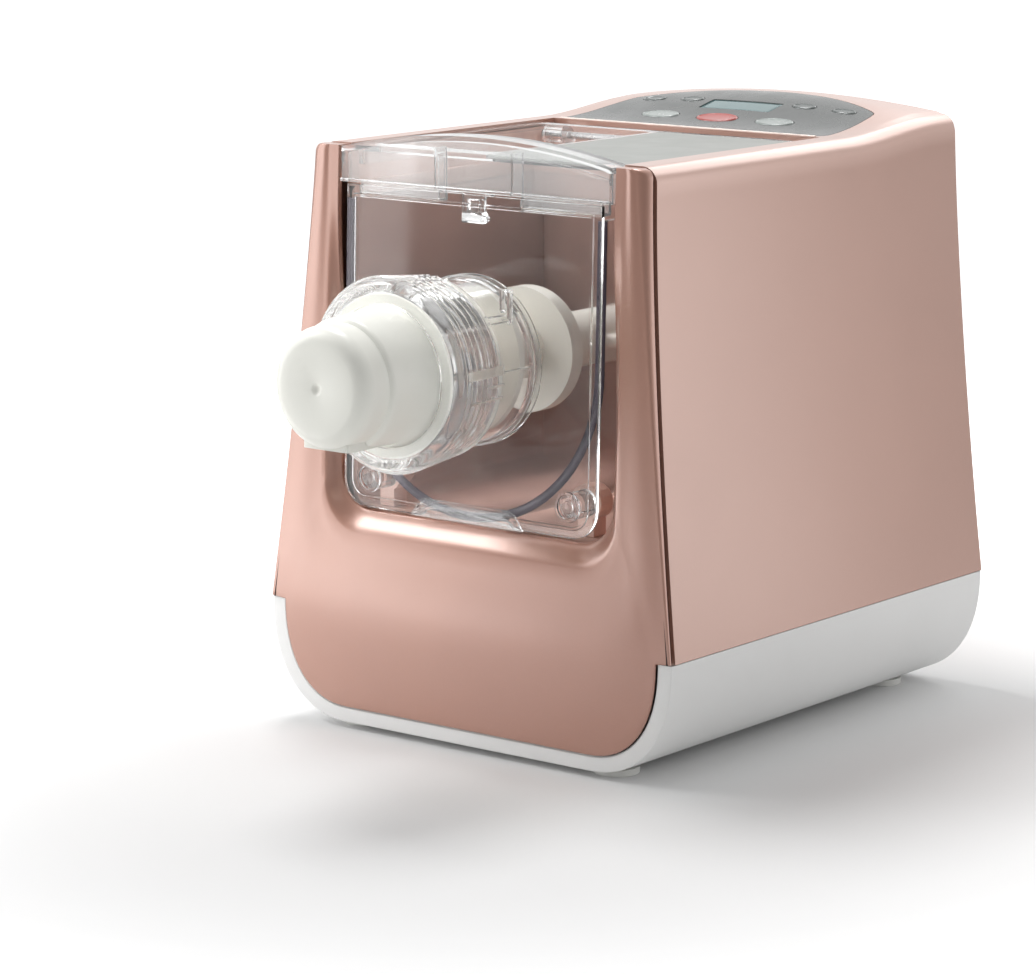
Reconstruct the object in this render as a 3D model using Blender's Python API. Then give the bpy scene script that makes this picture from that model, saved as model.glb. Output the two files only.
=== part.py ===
"""Electric pasta maker: a casing on a white base tray, a mixing bowl with its
paddle, a clear front plate with the extrusion barrel, ring nut and die, a
hinged clear lid, a gear train with its motor, and a control panel.

All lengths are metres. The casing is drawn with y = 0 near its front face and
+y to the rear, and stands on z = 0. Every piece is then moved by origin_y,
which puts the world origin at the middle of the whole footprint.
"""
import math

import bmesh
import bpy
from mathutils import Matrix, Vector

# Casing
body_depth = 0.254
nozzle_reach = 0.102
axis_height = 0.181
top_half_width = 0.0955
seam_half_width = 0.116
seam_height = 0.0575
top_above_axis = 0.0918
rear_rise = 0.0052
dome_rise = 0.0045
rise_lead = 0.0022
rise_end_inset = 0.032
top_corner = 0.008
cover_wall = 0.0025
side_flare = 1.4
top_edge_setback = 0.0133
seam_edge_setback = 0.001
groove_width = 0.003

# Base tray and feet
foot_height = 0.003
foot_radius = 0.0105
foot_side_inset = 0.0425
foot_front = 0.0155
foot_rear_inset = 0.0235
tray_clearance = 0.0003
tray_wall = 0.003
tray_curve_width = 0.046
tray_corner_power = 2.3
tray_front = -0.0018
rim_width = 0.008
rim_drop = 0.0072
rim_depth = 0.006

# Front frame
frame_wall = 0.0024
frame_round_top = 0.005
frame_round_seam = 0.0008
frame_crown = 0.0004
frame_dip_shares = ((0.0, 1.0), (0.35, 0.62), (0.7, 0.18), (1.0, 0.0))
frame_round_shares = ((0.45, 0.0), (0.8, 0.12), (0.94, 0.45), (1.0, 1.0))
window_side_inset = 0.0167
window_plate_gap = 0.0025
window_corner = 0.018
window_dip = 0.0055
bevel_width = 0.0057
bevel_drop = 0.0109
bevel_corner = 0.022

# Clear front plate
plate_side_gap = 0.0061
plate_bowl_margin = 0.0006
plate_top_drop = 0.0178
plate_corner = 0.013
plate_thickness = 0.0024
plate_setback = -0.0003
plate_lean = 0.027
plate_step_half_width = 0.024
plate_step = 0.003

# Nozzle: barrel, ring nut, die and screw, all on the mixer axis
barrel_radius = 0.037
barrel_wall = 0.003
barrel_length = 0.052
barrel_collar = 0.003
barrel_collar_length = 0.003
nut_length = 0.035
nut_front_radius = 0.044
nut_rear_radius = 0.041
nut_lip = 0.0028
nut_lip_radius = 0.032
nut_rings = 7
nut_ring_height = 0.0014
die_flange_radius = 0.0365
die_flange = 0.0026
die_neck_radius = 0.0305
die_neck_front_radius = 0.0292
die_neck_end = 0.085
die_head_radius = 0.027
die_head_round = 0.008
die_wall = 0.004
die_pit_radius = 0.0022
die_pit_depth = 0.0012
outlet_half_width = 0.013
outlet_length = 0.033
outlet_front = 0.0965
outlet_thickness = 0.0042
outlet_columns = 3
outlet_rows = 6
outlet_hole = 0.0015
screw_core = 0.0095
screw_clearance = 0.0013
screw_pitch = 0.024
screw_rear = 0.011
screw_gap = 0.004
screw_lobe_share = 0.17
screw_steps_per_turn = 18

# Mixing bowl and its liner
bowl_plate_inset = 0.0027
bowl_wall = 0.0034
bowl_rear_wall = 0.003
bowl_top_drop = 0.0243
liner_wall = 0.0025
liner_clearance = 0.0011
liner_front = 0.0125
liner_top_drop = 0.003
liner_floor_gap = 0.0021
niche_depth = 0.0198
lid_gap = 0.0004
niche_behind_bowl = 0.0132
well_clearance = 0.0008
rib_thickness = 0.003
rib_inset = 0.012

# Mixer
shaft_radius = 0.006
shaft_front = -0.030
paddle_hub_radius = 0.013
paddle_front = 0.0145
paddle_rear_gap = 0.012
paddle_disc_radius = 0.029
paddle_disc_place = 0.041
paddle_disc_width = 0.008
paddle_side_gap = 0.006
paddle_arm_width = 0.012
paddle_arm_thickness = 0.006
paddle_arm_place_shares = (0.46, 0.93)
paddle_wiper_width = 0.008
paddle_wiper_thickness = 0.0095
paddle_wiper_share = 0.36
seal_flange = 0.003
seal_flange_radius = 0.0145
bearing_radius = 0.011

# Gear train and motor
gear_module = 0.002
gear_addendum_share = 0.8
gear_dedendum_share = 1.15
gear_backlash = 0.0004
output_teeth = 36
middle_small_teeth = 11
middle_large_teeth = 37
pinion_teeth = 10
output_gear_gap = 0.0062
output_gear_width = 0.010
gear_plane_gap = 0.003
middle_gear_width = 0.008
middle_axle_radius = 0.003
case_gap = 0.0038
case_depth = 0.032
case_wall = 0.003
case_half_width = 0.046
case_margin = 0.005
case_corner = 0.012
motor_radius = 0.038
motor_length = 0.040
motor_end_round = 0.004
motor_shaft_radius = 0.004
fan_radius = 0.033
fan_width = 0.008
fan_gap = 0.0045
fan_hub_radius = 0.010
fan_rear_gap = 0.0096
fan_blades = 8
fan_blade_share = 0.14
cradle_half_width = 0.030
cradle_length = 0.028
cradle_wall = 0.004

# Lid
lid_side_gap = 0.0016
lid_front = 0.0052
lid_rear_gap = 0.0122
lid_bottom_drop = 0.0169
lid_top_drop = 0.001
lid_wall = 0.0028
lid_arch_rise = 0.0088
lid_band_depth = 0.013
lid_skirt = 0.006
lid_plate_thickness = 0.0014
lid_plate_gap = 0.0003
fill_inner_edge = -0.004
fill_margin = 0.006
fill_front = 0.030
hinge_rear_gap = 0.0067
hinge_drop = 0.0068
hinge_pin_radius = 0.0018
knuckle_radius = 0.0052
knuckle_length = 0.012
knuckle_inset = 0.003
latch_half_width = 0.0065
latch_offset = -0.0013
latch_drop = 0.0137
latch_thickness = 0.0032
latch_hook = 0.0025
latch_swing_gap = 0.0017
magnet_radius = 0.004
magnet_wall_gap = 0.0008
magnet_height = 0.0025
magnet_inset = 0.031
switch_length = 0.020
switch_height = 0.012
switch_thickness = 0.007

# Pegs that locate the front plate
peg_bowl_gap = 0.0097
peg_angle = 46.2
peg_radius = 0.0062
peg_length = 0.014
socket_wall = 0.0017
socket_length = 0.009
socket_setback = 0.0135

# Control panel
panel_side_margin = 0.0195
panel_niche_gap = 0.004
panel_side_inset = 0.032
panel_rear_inset = 0.010
panel_rear_taper = 0.006
panel_corner = 0.008
panel_bend_share = 0.3
panel_bend_place_share = 0.8
panel_curve_power = 0.8
panel_thickness = 0.0023
carrier_thickness = 0.002
carrier_gap = 0.0009
carrier_margin = 0.006
carrier_rear_inset = 0.0065
button_proud = 0.0004
button_travel = 0.0008
button_crown_share = 0.86
button_clearance = 0.0003
button_stem = 0.0075
large_button = (0.0105, 0.0055)
start_button = (0.0115, 0.0062)
small_button = (0.0066, 0.0036)
large_button_side_share = 0.441
large_button_setback = 0.0248
small_button_side_shares = (0.434, 0.737)
small_button_inset = 0.026
display_width_share = 0.27
display_inset = 0.032
display_half_depth = 0.0065
board_thickness = 0.0016
board_side_inset = 0.006
board_front_setback = 0.0068
board_rear_inset = 0.004
standoff_radius = 0.003
standoff_inset = 0.006

# Rear panel, inlet and power board
vent_rows = 6
vent_pitch = 0.009
vent_half_width = 0.028
vent_height = 0.004
vent_end_share = 0.9
vents_above_seam = 0.0295
inlet_half_width = 0.0135
inlet_half_height = 0.010
inlet_depth = 0.016
inlet_side_inset = 0.050
inlet_above_seam = 0.0205
inlet_wall = 0.002
pin_length = 0.010
screw_head_radius = 0.0035
screw_head_height = 0.0022
screw_shank_radius = 0.0015
screw_shank_length = 0.008
screw_low_inset = 0.029
screw_high_inset = 0.0085
screw_above_seam = 0.0145
screw_top_drop = 0.0328
power_board_side_gap = 0.0115
power_board_front = 0.036
power_board_rear_gap = 0.020
power_board_height = 0.016
transformer_size = (0.040, 0.034, 0.030)

# Shared values
clearance = 0.0003
running_gap = 0.0004
overrun = 0.010
round_segments = 32
small_segments = 16
button_segments = 16

origin_y = (nozzle_reach - body_depth) / 2

# Widths, from the casing's top and its seam
foot_side = seam_half_width - foot_side_inset
tray_flat = seam_half_width - tray_curve_width
inlet_side = inlet_side_inset - seam_half_width
window_half_width = top_half_width - window_side_inset
bevel_half_width = window_half_width + bevel_width
plate_half_width = window_half_width - plate_side_gap
lid_half_width = window_half_width - lid_side_gap
bowl_radius = plate_half_width - bowl_plate_inset
bowl_outer = bowl_radius + bowl_wall
paddle_reach = bowl_radius - paddle_side_gap
liner_inner = bowl_outer + liner_clearance
liner_outer = liner_inner + liner_wall
well_half_width = lid_half_width + well_clearance
tier_inner = lid_half_width + lid_gap
tier_outer = tier_inner + liner_wall
peg_reach = bowl_outer + peg_bowl_gap
peg_side = peg_reach * math.cos(math.radians(peg_angle))
power_board_half_width = liner_inner - rib_inset - rib_thickness - power_board_side_gap
panel_half_width = top_half_width - panel_side_margin
panel_rear_half_width = panel_half_width - panel_rear_taper
board_half_width = panel_half_width - board_side_inset
large_button_side = panel_half_width * large_button_side_share
small_button_sides = tuple(panel_half_width * share for share in small_button_side_shares)
display_half_width = panel_half_width * display_width_share
barrel_bore = barrel_radius - barrel_wall
nut_front = -(barrel_length + clearance + die_flange + clearance + nut_lip)

# Heights, from the mixer axis
front_top = axis_height + top_above_axis
rear_top = front_top + rear_rise
plate_bottom = axis_height - bowl_outer - plate_bowl_margin
window_bottom = plate_bottom - window_plate_gap
bevel_bottom = window_bottom - bevel_drop
plate_top = front_top - plate_top_drop
peg_height = axis_height - peg_reach * math.sin(math.radians(peg_angle))
bowl_top = front_top - bowl_top_drop
liner_top = front_top - liner_top_drop
liner_bottom = axis_height - bowl_outer - liner_floor_gap - liner_wall
niche_floor = front_top - niche_depth
lid_bottom = front_top - lid_bottom_drop
lid_top = front_top - lid_top_drop
hinge_height = front_top - hinge_drop
middle_height = axis_height - gear_module * (output_teeth + middle_small_teeth) / 2
motor_height = middle_height - gear_module * (middle_large_teeth + pinion_teeth) / 2
tray_floor = foot_height + tray_clearance
vent_middle = seam_height + vents_above_seam
inlet_height = seam_height + inlet_above_seam
screw_places = ((seam_half_width - screw_low_inset, seam_height + screw_above_seam),
                (top_half_width - screw_high_inset, front_top - screw_top_drop))

# Places along the depth, from the rear panel forward
rear_panel_front = body_depth - cover_wall
fan_front = rear_panel_front - fan_rear_gap - fan_width
motor_rear = fan_front - fan_gap
motor_front = motor_rear - motor_length
cover_rear = motor_front - clearance
case_rear = cover_rear - case_wall - clearance
case_front = case_rear - case_depth
output_gear_place = case_front + output_gear_gap
middle_gear_place = output_gear_place + output_gear_width + gear_plane_gap
bowl_depth = case_front - case_gap
paddle_rear = bowl_depth - paddle_rear_gap
power_board_rear = bowl_depth - power_board_rear_gap
niche_rear = bowl_depth + niche_behind_bowl
lid_rear = niche_rear - lid_rear_gap
hinge_place = niche_rear - hinge_rear_gap
magnet_place = lid_rear - magnet_inset
panel_front = niche_rear + panel_niche_gap
panel_side_rear = body_depth - panel_side_inset
panel_rear = body_depth - panel_rear_inset
carrier_rear = body_depth - carrier_rear_inset
rise_start = panel_front - rise_lead
rise_end = body_depth - rise_end_inset
large_button_place = panel_front + large_button_setback
small_button_place = panel_rear - small_button_inset
display_place = panel_rear - display_inset
board_front = panel_front + board_front_setback
board_rear = panel_rear - board_rear_inset


def clear_scene():
    for item in list(bpy.data.objects):
        bpy.data.objects.remove(item, do_unlink=True)


def make_material(name, color, roughness, metallic=0.0, alpha=1.0, transmission=0.0):
    material = bpy.data.materials.new(name)
    material.use_nodes = True
    shader = material.node_tree.nodes["Principled BSDF"]
    shader.inputs["Base Color"].default_value = (*color, 1.0)
    shader.inputs["Roughness"].default_value = roughness
    shader.inputs["Metallic"].default_value = metallic
    shader.inputs["Alpha"].default_value = alpha
    shader.inputs["Transmission Weight"].default_value = transmission
    material.diffuse_color = (*color, alpha)
    return material


finishes = {
    "rose_metal": ((0.62, 0.40, 0.33), 0.32, 0.75),
    "mauve_liner": ((0.33, 0.24, 0.23), 0.45),
    "white_casing": ((0.78, 0.78, 0.77), 0.35),
    "white_die": ((0.88, 0.88, 0.85), 0.40),
    "clear_plastic": ((0.93, 0.94, 0.94), 0.05, 0.0, 0.35, 0.9),
    "bowl_plastic": ((0.42, 0.39, 0.44), 0.15, 0.0, 0.6, 0.5),
    "grey_plastic": ((0.55, 0.56, 0.55), 0.40),
    "silver_plate": ((0.72, 0.73, 0.71), 0.28, 0.6),
    "panel_glass": ((0.24, 0.28, 0.28), 0.12),
    "display": ((0.30, 0.48, 0.48), 0.15),
    "steel": ((0.60, 0.60, 0.60), 0.25, 1.0),
    "rubber": ((0.06, 0.06, 0.06), 0.80),
    "foot_pad": ((0.80, 0.80, 0.78), 0.55),
    "red_button": ((0.70, 0.16, 0.14), 0.35),
    "nylon": ((0.82, 0.80, 0.74), 0.50),
    "dark_plastic": ((0.08, 0.08, 0.09), 0.50),
    "motor_steel": ((0.36, 0.37, 0.39), 0.40, 0.9),
    "board_green": ((0.05, 0.24, 0.12), 0.45),
}


def add_part(name, bm, finish, origin=(0.0, 0.0, 0.0)):
    """Close a mesh as one object whose origin lies at the given point."""
    bmesh.ops.recalc_face_normals(bm, faces=bm.faces)
    bmesh.ops.translate(bm, verts=bm.verts, vec=-Vector(origin))
    mesh = bpy.data.meshes.new(name)
    bm.to_mesh(mesh)
    bm.free()
    piece = bpy.data.objects.new(name, mesh)
    piece.location = Vector(origin) + Vector((0.0, origin_y, 0.0))
    bpy.context.collection.objects.link(piece)
    mesh.materials.append(make_material(name + "_finish", *finishes[finish]))
    return piece


def add_cutter(name, bm):
    cutter = add_part(name, bm, "dark_plastic")
    cutter.hide_render = True
    cutter.display_type = "WIRE"
    return cutter


def combine(piece, tool, operation="DIFFERENCE"):
    modifier = piece.modifiers.new(operation.lower(), "BOOLEAN")
    modifier.operation = operation
    modifier.solver = "EXACT"
    modifier.object = tool
    return piece


def smooth(piece, angle=0.6):
    piece.data.shade_smooth()
    piece.data.set_sharp_from_angle(angle=angle)
    return piece


def box_mesh(low, high):
    bm = bmesh.new()
    size = Vector(high) - Vector(low)
    place = Matrix.Translation((Vector(high) + Vector(low)) / 2)
    bmesh.ops.create_cube(bm, size=1.0, matrix=place @ Matrix.Diagonal((*size, 1.0)))
    return bm


def prism_mesh(outline, axis, low, high):
    """Extrude a closed 2-D outline along an axis (0 = x, 1 = y, 2 = z)."""
    bm = bmesh.new()
    corners = []
    for first, second in outline:
        point = [first, second]
        point.insert(axis, low)
        corners.append(bm.verts.new(point))
    face = bm.faces.new(corners)
    extruded = bmesh.ops.extrude_face_region(bm, geom=[face])
    offset = [0.0, 0.0, 0.0]
    offset[axis] = high - low
    moved = [item for item in extruded["geom"] if isinstance(item, bmesh.types.BMVert)]
    bmesh.ops.translate(bm, verts=moved, vec=offset)
    return bm


def turned_mesh(profile, height, segments=round_segments, closed=False, side=0.0):
    """Turn (y, radius) points about the y axis line at the given side and height."""
    bm = bmesh.new()
    rings = []
    for y, radius in profile:
        if radius == 0.0:
            rings.append([bm.verts.new((side, y, height))])
            continue
        ring = []
        for step in range(segments):
            angle = 2 * math.pi * step / segments
            ring.append(bm.verts.new((side + radius * math.cos(angle), y,
                                      height + radius * math.sin(angle))))
        rings.append(ring)
    pairs = list(zip(rings, rings[1:]))
    if closed:
        pairs.append((rings[-1], rings[0]))
    for first, second in pairs:
        for step in range(segments):
            after = (step + 1) % segments
            corners = [first[step % len(first)], first[after % len(first)],
                       second[after % len(second)], second[step % len(second)]]
            distinct = list(dict.fromkeys(corners))
            if len(distinct) > 2:
                bm.faces.new(distinct)
    return bm


def rod_mesh(radius, low, high, height, side=0.0, segments=small_segments):
    return turned_mesh([(low, 0.0), (low, radius), (high, radius), (high, 0.0)],
                       height, segments, side=side)


def ring_mesh(inner, outer, low, high, height, segments=round_segments, side=0.0):
    return turned_mesh([(low, inner), (low, outer), (high, outer), (high, inner)],
                       height, segments, closed=True, side=side)


def rod_along_x(radius, low, high, y, z, segments=small_segments):
    outline = []
    for step in range(segments):
        angle = 2 * math.pi * step / segments
        outline.append((y + radius * math.cos(angle), z + radius * math.sin(angle)))
    return prism_mesh(outline, 0, low, high)


def arc(centre, radius, start, end, steps):
    points = []
    for step in range(steps + 1):
        angle = math.radians(start + (end - start) * step / steps)
        points.append((centre[0] + radius * math.cos(angle),
                       centre[1] + radius * math.sin(angle)))
    return points


def rounded_box(low, high, radius, steps=4):
    """Closed outline of a rectangle with round corners."""
    outline = arc((high[0] - radius, high[1] - radius), radius, 0, 90, steps)
    outline += arc((low[0] + radius, high[1] - radius), radius, 90, 180, steps)
    outline += arc((low[0] + radius, low[1] + radius), radius, 180, 270, steps)
    outline += arc((high[0] - radius, low[1] + radius), radius, 270, 360, steps)
    return outline


def ellipse(centre, radii, steps):
    outline = []
    for step in range(steps):
        angle = 2 * math.pi * step / steps
        outline.append((centre[0] + radii[0] * math.cos(angle),
                        centre[1] + radii[1] * math.sin(angle)))
    return outline


def blend(first, second, share):
    return first + (second - first) * share


def smooth_share(value, start, end):
    share = min(max((value - start) / (end - start), 0.0), 1.0)
    return share * share * (3 - 2 * share)


# Surfaces that several pieces share

def half_width(z):
    share = min(max((front_top - z) / (front_top - seam_height), 0.0), 1.0)
    return top_half_width + (seam_half_width - top_half_width) * share ** side_flare


def cover_edge(z):
    """How far back the side cover starts at height z."""
    share = max(z - seam_height, 0.0) / (front_top - seam_height)
    return blend(seam_edge_setback, top_edge_setback, share)


def frame_round(z):
    share = min(max((z - seam_height) / (front_top - seam_height), 0.0), 1.0)
    return blend(frame_round_seam, frame_round_top, share)


def frame_face(z):
    return cover_edge(z) - groove_width - frame_round(z)


def casing_top(x, y):
    share = smooth_share(y, rise_start, rise_end)
    across = min(abs(x) / top_half_width, 1.0)
    return front_top + rear_rise * share + dome_rise * share * (1 - across * across)


def tray_profile(inset_side, inset_floor, steps=7):
    """Right half of a tray section, from the seam down to the flat floor."""
    points = []
    for step in range(steps + 1):
        angle = math.pi / 2 * step / steps
        across = math.cos(angle) ** (2 / tray_corner_power)
        down = math.sin(angle) ** (2 / tray_corner_power)
        points.append((tray_flat + (seam_half_width - tray_flat - inset_side) * across,
                       seam_height - (seam_height - tray_floor - inset_floor) * down))
    return points


def full_section(right_half):
    return right_half + [(-x, z) for x, z in reversed(right_half)]


def plate_front(z):
    return plate_setback + plate_lean * (z - plate_bottom)


# Base tray and feet

def make_base_tray():
    outline = full_section(tray_profile(0.0, 0.0))
    tray = add_part("base_tray", prism_mesh(outline, 1, tray_front, body_depth), "white_casing")
    cavity = full_section([(seam_half_width - tray_wall, seam_height + overrun)]
                          + tray_profile(tray_wall, tray_wall))
    combine(tray, add_cutter("tray_cavity_cutter", prism_mesh(
        cavity, 1, rim_depth, body_depth - tray_wall)))
    mouth = full_section([(seam_half_width - rim_width, seam_height + overrun)]
                         + tray_profile(rim_width, rim_drop))
    combine(tray, add_cutter("tray_mouth_cutter", prism_mesh(
        mouth, 1, tray_front - overrun, rim_depth + tray_wall)))
    return smooth(tray)


def make_feet():
    places = {
        "foot_front_right": (foot_side, foot_front),
        "foot_front_left": (-foot_side, foot_front),
        "foot_rear_right": (foot_side, body_depth - foot_rear_inset),
        "foot_rear_left": (-foot_side, body_depth - foot_rear_inset),
    }
    for name, (side, place) in places.items():
        outline = ellipse((side, place), (foot_radius, foot_radius), small_segments)
        smooth(add_part(name, prism_mesh(outline, 2, 0.0, foot_height), "foot_pad"))


# Casing

def cover_section(share, inset):
    """Right half of the cover's section at a share of its depth, inner or outer."""
    heights = [blend(seam_height + clearance, front_top - top_corner, step / 7) for step in range(8)]
    points = []
    for z in heights:
        y = blend(cover_edge(z), body_depth, share)
        lift = casing_top(top_half_width, y) - front_top
        level = z + lift * smooth_share(z, seam_height, front_top - top_corner)
        points.append((half_width(z) - inset, y, level))
    edge = blend(cover_edge(front_top), body_depth, share)
    top = casing_top(top_half_width, edge)
    radius = top_corner - inset
    centre = (half_width(front_top) - top_corner, top - top_corner)
    for x, z in arc(centre, radius, 12, 90, 5):
        points.append((x, edge, z))
    inner_x = half_width(front_top) - top_corner
    for step in range(1, 5):
        x = inner_x * (1 - step / 4)
        points.append((x, edge, casing_top(x, edge) - inset))
    return points


def make_outer_cover():
    bm = bmesh.new()
    rise_shares = [0.0, 0.3] + [blend(rise_start, rise_end, step / 5) / body_depth for step in range(6)]
    rise_shares.append(1.0)
    rings = []
    for share in rise_shares:
        outer = cover_section(share, 0.0)
        inner = cover_section(share, cover_wall)
        loop = outer + [(-x, y, z) for x, y, z in reversed(outer[:-1])]
        back = inner + [(-x, y, z) for x, y, z in reversed(inner[:-1])]
        rings.append([bm.verts.new(point) for point in loop + back[::-1]])
    count = len(rings[0])
    for first, second in zip(rings, rings[1:]):
        for step in range(count):
            after = (step + 1) % count
            bm.faces.new((first[step], first[after], second[after], second[step]))
    half = count // 2
    for ring in (rings[0], rings[-1]):
        for step in range(half - 1):
            bm.faces.new((ring[step], ring[step + 1], ring[count - 2 - step], ring[count - 1 - step]))
    cover = add_part("outer_cover", bm, "rose_metal")
    well = box_mesh((-well_half_width, -overrun, niche_floor),
                    (well_half_width, niche_rear + liner_wall / 2, rear_top + overrun))
    combine(cover, add_cutter("well_cutter", well))
    opening = prism_mesh(panel_outline(clearance), 2, niche_floor, rear_top + overrun)
    combine(cover, add_cutter("panel_opening_cutter", opening))
    return smooth(cover)


def make_rear_panel():
    right = []
    for step in range(9):
        z = blend(seam_height + clearance, front_top - top_corner, step / 8)
        lift = (rear_top - front_top) * smooth_share(z, seam_height, front_top - top_corner)
        right.append((half_width(z) - cover_wall - clearance, z + lift))
    centre = (half_width(front_top) - top_corner, rear_top - top_corner)
    right += arc(centre, top_corner - cover_wall - clearance, 12, 90, 4)
    for step in range(1, 5):
        x = centre[0] * (1 - step / 4)
        right.append((x, casing_top(x, body_depth) - cover_wall - clearance))
    outline = right + [(-x, z) for x, z in reversed(right[:-1])]
    panel = add_part("rear_panel", prism_mesh(outline, 1, rear_panel_front, body_depth), "rose_metal")
    low = vent_middle - vent_pitch * (vent_rows - 1) / 2
    for row in range(vent_rows):
        z = low + row * vent_pitch
        slot = rounded_box((-vent_half_width, z - vent_height / 2),
                           (vent_half_width, z + vent_height / 2), vent_height / 2 * vent_end_share, 2)
        combine(panel, add_cutter("vent_cutter_%d" % row, prism_mesh(
            slot, 1, rear_panel_front - overrun, body_depth + overrun)))
    hole = box_mesh((inlet_side - inlet_half_width - clearance, rear_panel_front - overrun,
                     inlet_height - inlet_half_height - clearance),
                    (inlet_side + inlet_half_width + clearance, body_depth + overrun,
                     inlet_height + inlet_half_height + clearance))
    combine(panel, add_cutter("inlet_cutter", hole))
    for sign in (-1, 1):
        for number, (reach, height) in enumerate(screw_places):
            side = sign * reach
            bore = rod_mesh(screw_shank_radius + clearance, rear_panel_front - overrun,
                            body_depth + overrun, height, side, 8)
            label = "screw_bore_cutter_%d_%s" % (number, "right" if sign > 0 else "left")
            combine(panel, add_cutter(label, bore))
            sink = rod_mesh(screw_head_radius + clearance, body_depth - screw_head_height - clearance
                            + cover_wall / 2, body_depth + overrun, height, side, 8)
            combine(panel, add_cutter(label.replace("bore", "sink"), sink))
    return panel


def make_rear_screws():
    seat = body_depth - screw_head_height + cover_wall / 2
    for sign in (-1, 1):
        for number, (reach, height) in enumerate(screw_places):
            side = sign * reach
            profile = [(seat - screw_shank_length, 0.0), (seat - screw_shank_length, screw_shank_radius),
                       (seat, screw_shank_radius), (seat, screw_head_radius),
                       (body_depth, screw_head_radius), (body_depth, 0.0)]
            name = "rear_screw_%s_%s" % ("low" if number == 0 else "high",
                                         "right" if sign > 0 else "left")
            smooth(add_part(name, turned_mesh(profile, height, 8, side=side), "steel"))


def frame_path(kind):
    """Right half of one of the frame's three U-shaped lines, top to bottom centre."""
    points = []
    if kind == "outer":
        heights = [blend(front_top, seam_height + clearance * 2, step / 8) for step in range(9)]
        points += [(half_width(z), z) for z in heights]
        low = tray_profile(rim_width + clearance, rim_drop + clearance, 6)
        points += low
        points += [(tray_flat * (1 - step / 3), low[-1][1]) for step in (1, 2, 3)]
        return points
    side, bottom, corner = {
        "window": (window_half_width, window_bottom, window_corner),
        "bevel": (bevel_half_width, bevel_bottom, bevel_corner),
    }[kind]
    points += [(side, blend(front_top, bottom + corner, step / 8)) for step in range(9)]
    points += arc((side - corner, bottom + corner), corner, -4, -90, 6)
    points += [((side - corner) * (1 - step / 3), bottom) for step in (1, 2, 3)]
    return points


def make_front_frame():
    window = frame_path("window")
    bevel = frame_path("bevel")
    outer = frame_path("outer")
    lines = []
    for share, depth_share in frame_dip_shares:
        line = []
        for (ax, az), (bx, bz) in zip(window, bevel):
            x, z = blend(ax, bx, share), blend(az, bz, share)
            line.append((x, frame_face(z) + window_dip * depth_share, z))
        lines.append(line)
    for share, round_share in frame_round_shares:
        line = []
        for (ax, az), (bx, bz) in zip(bevel, outer):
            x, z = blend(ax, bx, share), blend(az, bz, share)
            crown = frame_crown if share < 0.5 else 0.0
            line.append((x, frame_face(z) - crown + frame_round(z) * round_share, z))
        lines.append(line)
    bm = bmesh.new()
    rows = []
    for line in lines:
        points = line + [(-x, y, z) for x, y, z in reversed(line[:-1])]
        rows.append([bm.verts.new(point) for point in points])
    for first, second in zip(rows, rows[1:]):
        for step in range(len(first) - 1):
            bm.faces.new((first[step], first[step + 1], second[step + 1], second[step]))
    frame = add_part("front_frame", bm, "rose_metal")
    if frame.data.polygons[0].normal.y > 0:
        frame.data.flip_normals()
    shell = frame.modifiers.new("wall", "SOLIDIFY")
    shell.thickness = frame_wall
    shell.offset = -1.0
    shell.use_even_offset = True
    for label, sign in (("right", 1), ("left", -1)):
        combine(frame, add_cutter("post_cap_" + label, post_cap_mesh(sign)), "UNION")
    return smooth(frame)


def post_cap_mesh(sign):
    """Plate that closes the top of one post, set into the middle of its wall."""
    top = front_top - clearance
    face = frame_face(top)
    inset = frame_wall / 2
    corner = (half_width(top) - bevel_half_width) / 2
    outline = [(window_half_width + inset, face + window_dip),
               (bevel_half_width, face + inset), (bevel_half_width + corner, face + inset),
               (half_width(top) - inset, face + frame_round(top)),
               (half_width(top) - inset, cover_edge(top) - clearance),
               (window_half_width + inset, cover_edge(top) - clearance)]
    return prism_mesh([(sign * x, y) for x, y in outline], 2, top - frame_wall, top)


# Bowl, liner and supports

def make_mixing_bowl():
    def section(radius):
        right = [(radius, bowl_top), (radius, blend(axis_height, bowl_top, 0.5))]
        right += arc((0.0, axis_height), radius, 0, -90, 12)
        return right + [(-x, z) for x, z in reversed(right[:-1])]

    bm = bmesh.new()
    outer = section(bowl_outer)
    inner = section(bowl_radius)

    def front(z):
        return plate_front(z) + plate_thickness + clearance

    front_outer = [bm.verts.new((x, front(z), z)) for x, z in outer]
    rear_outer = [bm.verts.new((x, bowl_depth, z)) for x, z in outer]
    front_inner = [bm.verts.new((x, front(z), z)) for x, z in inner]
    rear_inner = [bm.verts.new((x, bowl_depth - bowl_rear_wall, z)) for x, z in inner]
    count = len(outer)
    for step in range(count - 1):
        after = step + 1
        bm.faces.new((front_outer[step], front_outer[after], rear_outer[after], rear_outer[step]))
        bm.faces.new((front_inner[step], front_inner[after], rear_inner[after], rear_inner[step]))
        bm.faces.new((front_outer[step], front_outer[after], front_inner[after], front_inner[step]))
    bm.faces.new((front_outer[0], front_inner[0], rear_inner[0], rear_outer[0]))
    bm.faces.new((front_outer[-1], front_inner[-1], rear_inner[-1], rear_outer[-1]))
    bm.faces.new(rear_outer)
    bm.faces.new(rear_inner)
    bm.faces.new((rear_outer[0], rear_inner[0], rear_inner[-1], rear_outer[-1]))
    bowl = add_part("mixing_bowl", bm, "bowl_plastic")
    bore = rod_mesh(bearing_radius + clearance, bowl_depth - bowl_rear_wall - overrun,
                    bowl_depth + overrun, axis_height, segments=24)
    combine(bowl, add_cutter("bowl_bore_cutter", bore))
    return smooth(bowl)


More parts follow.
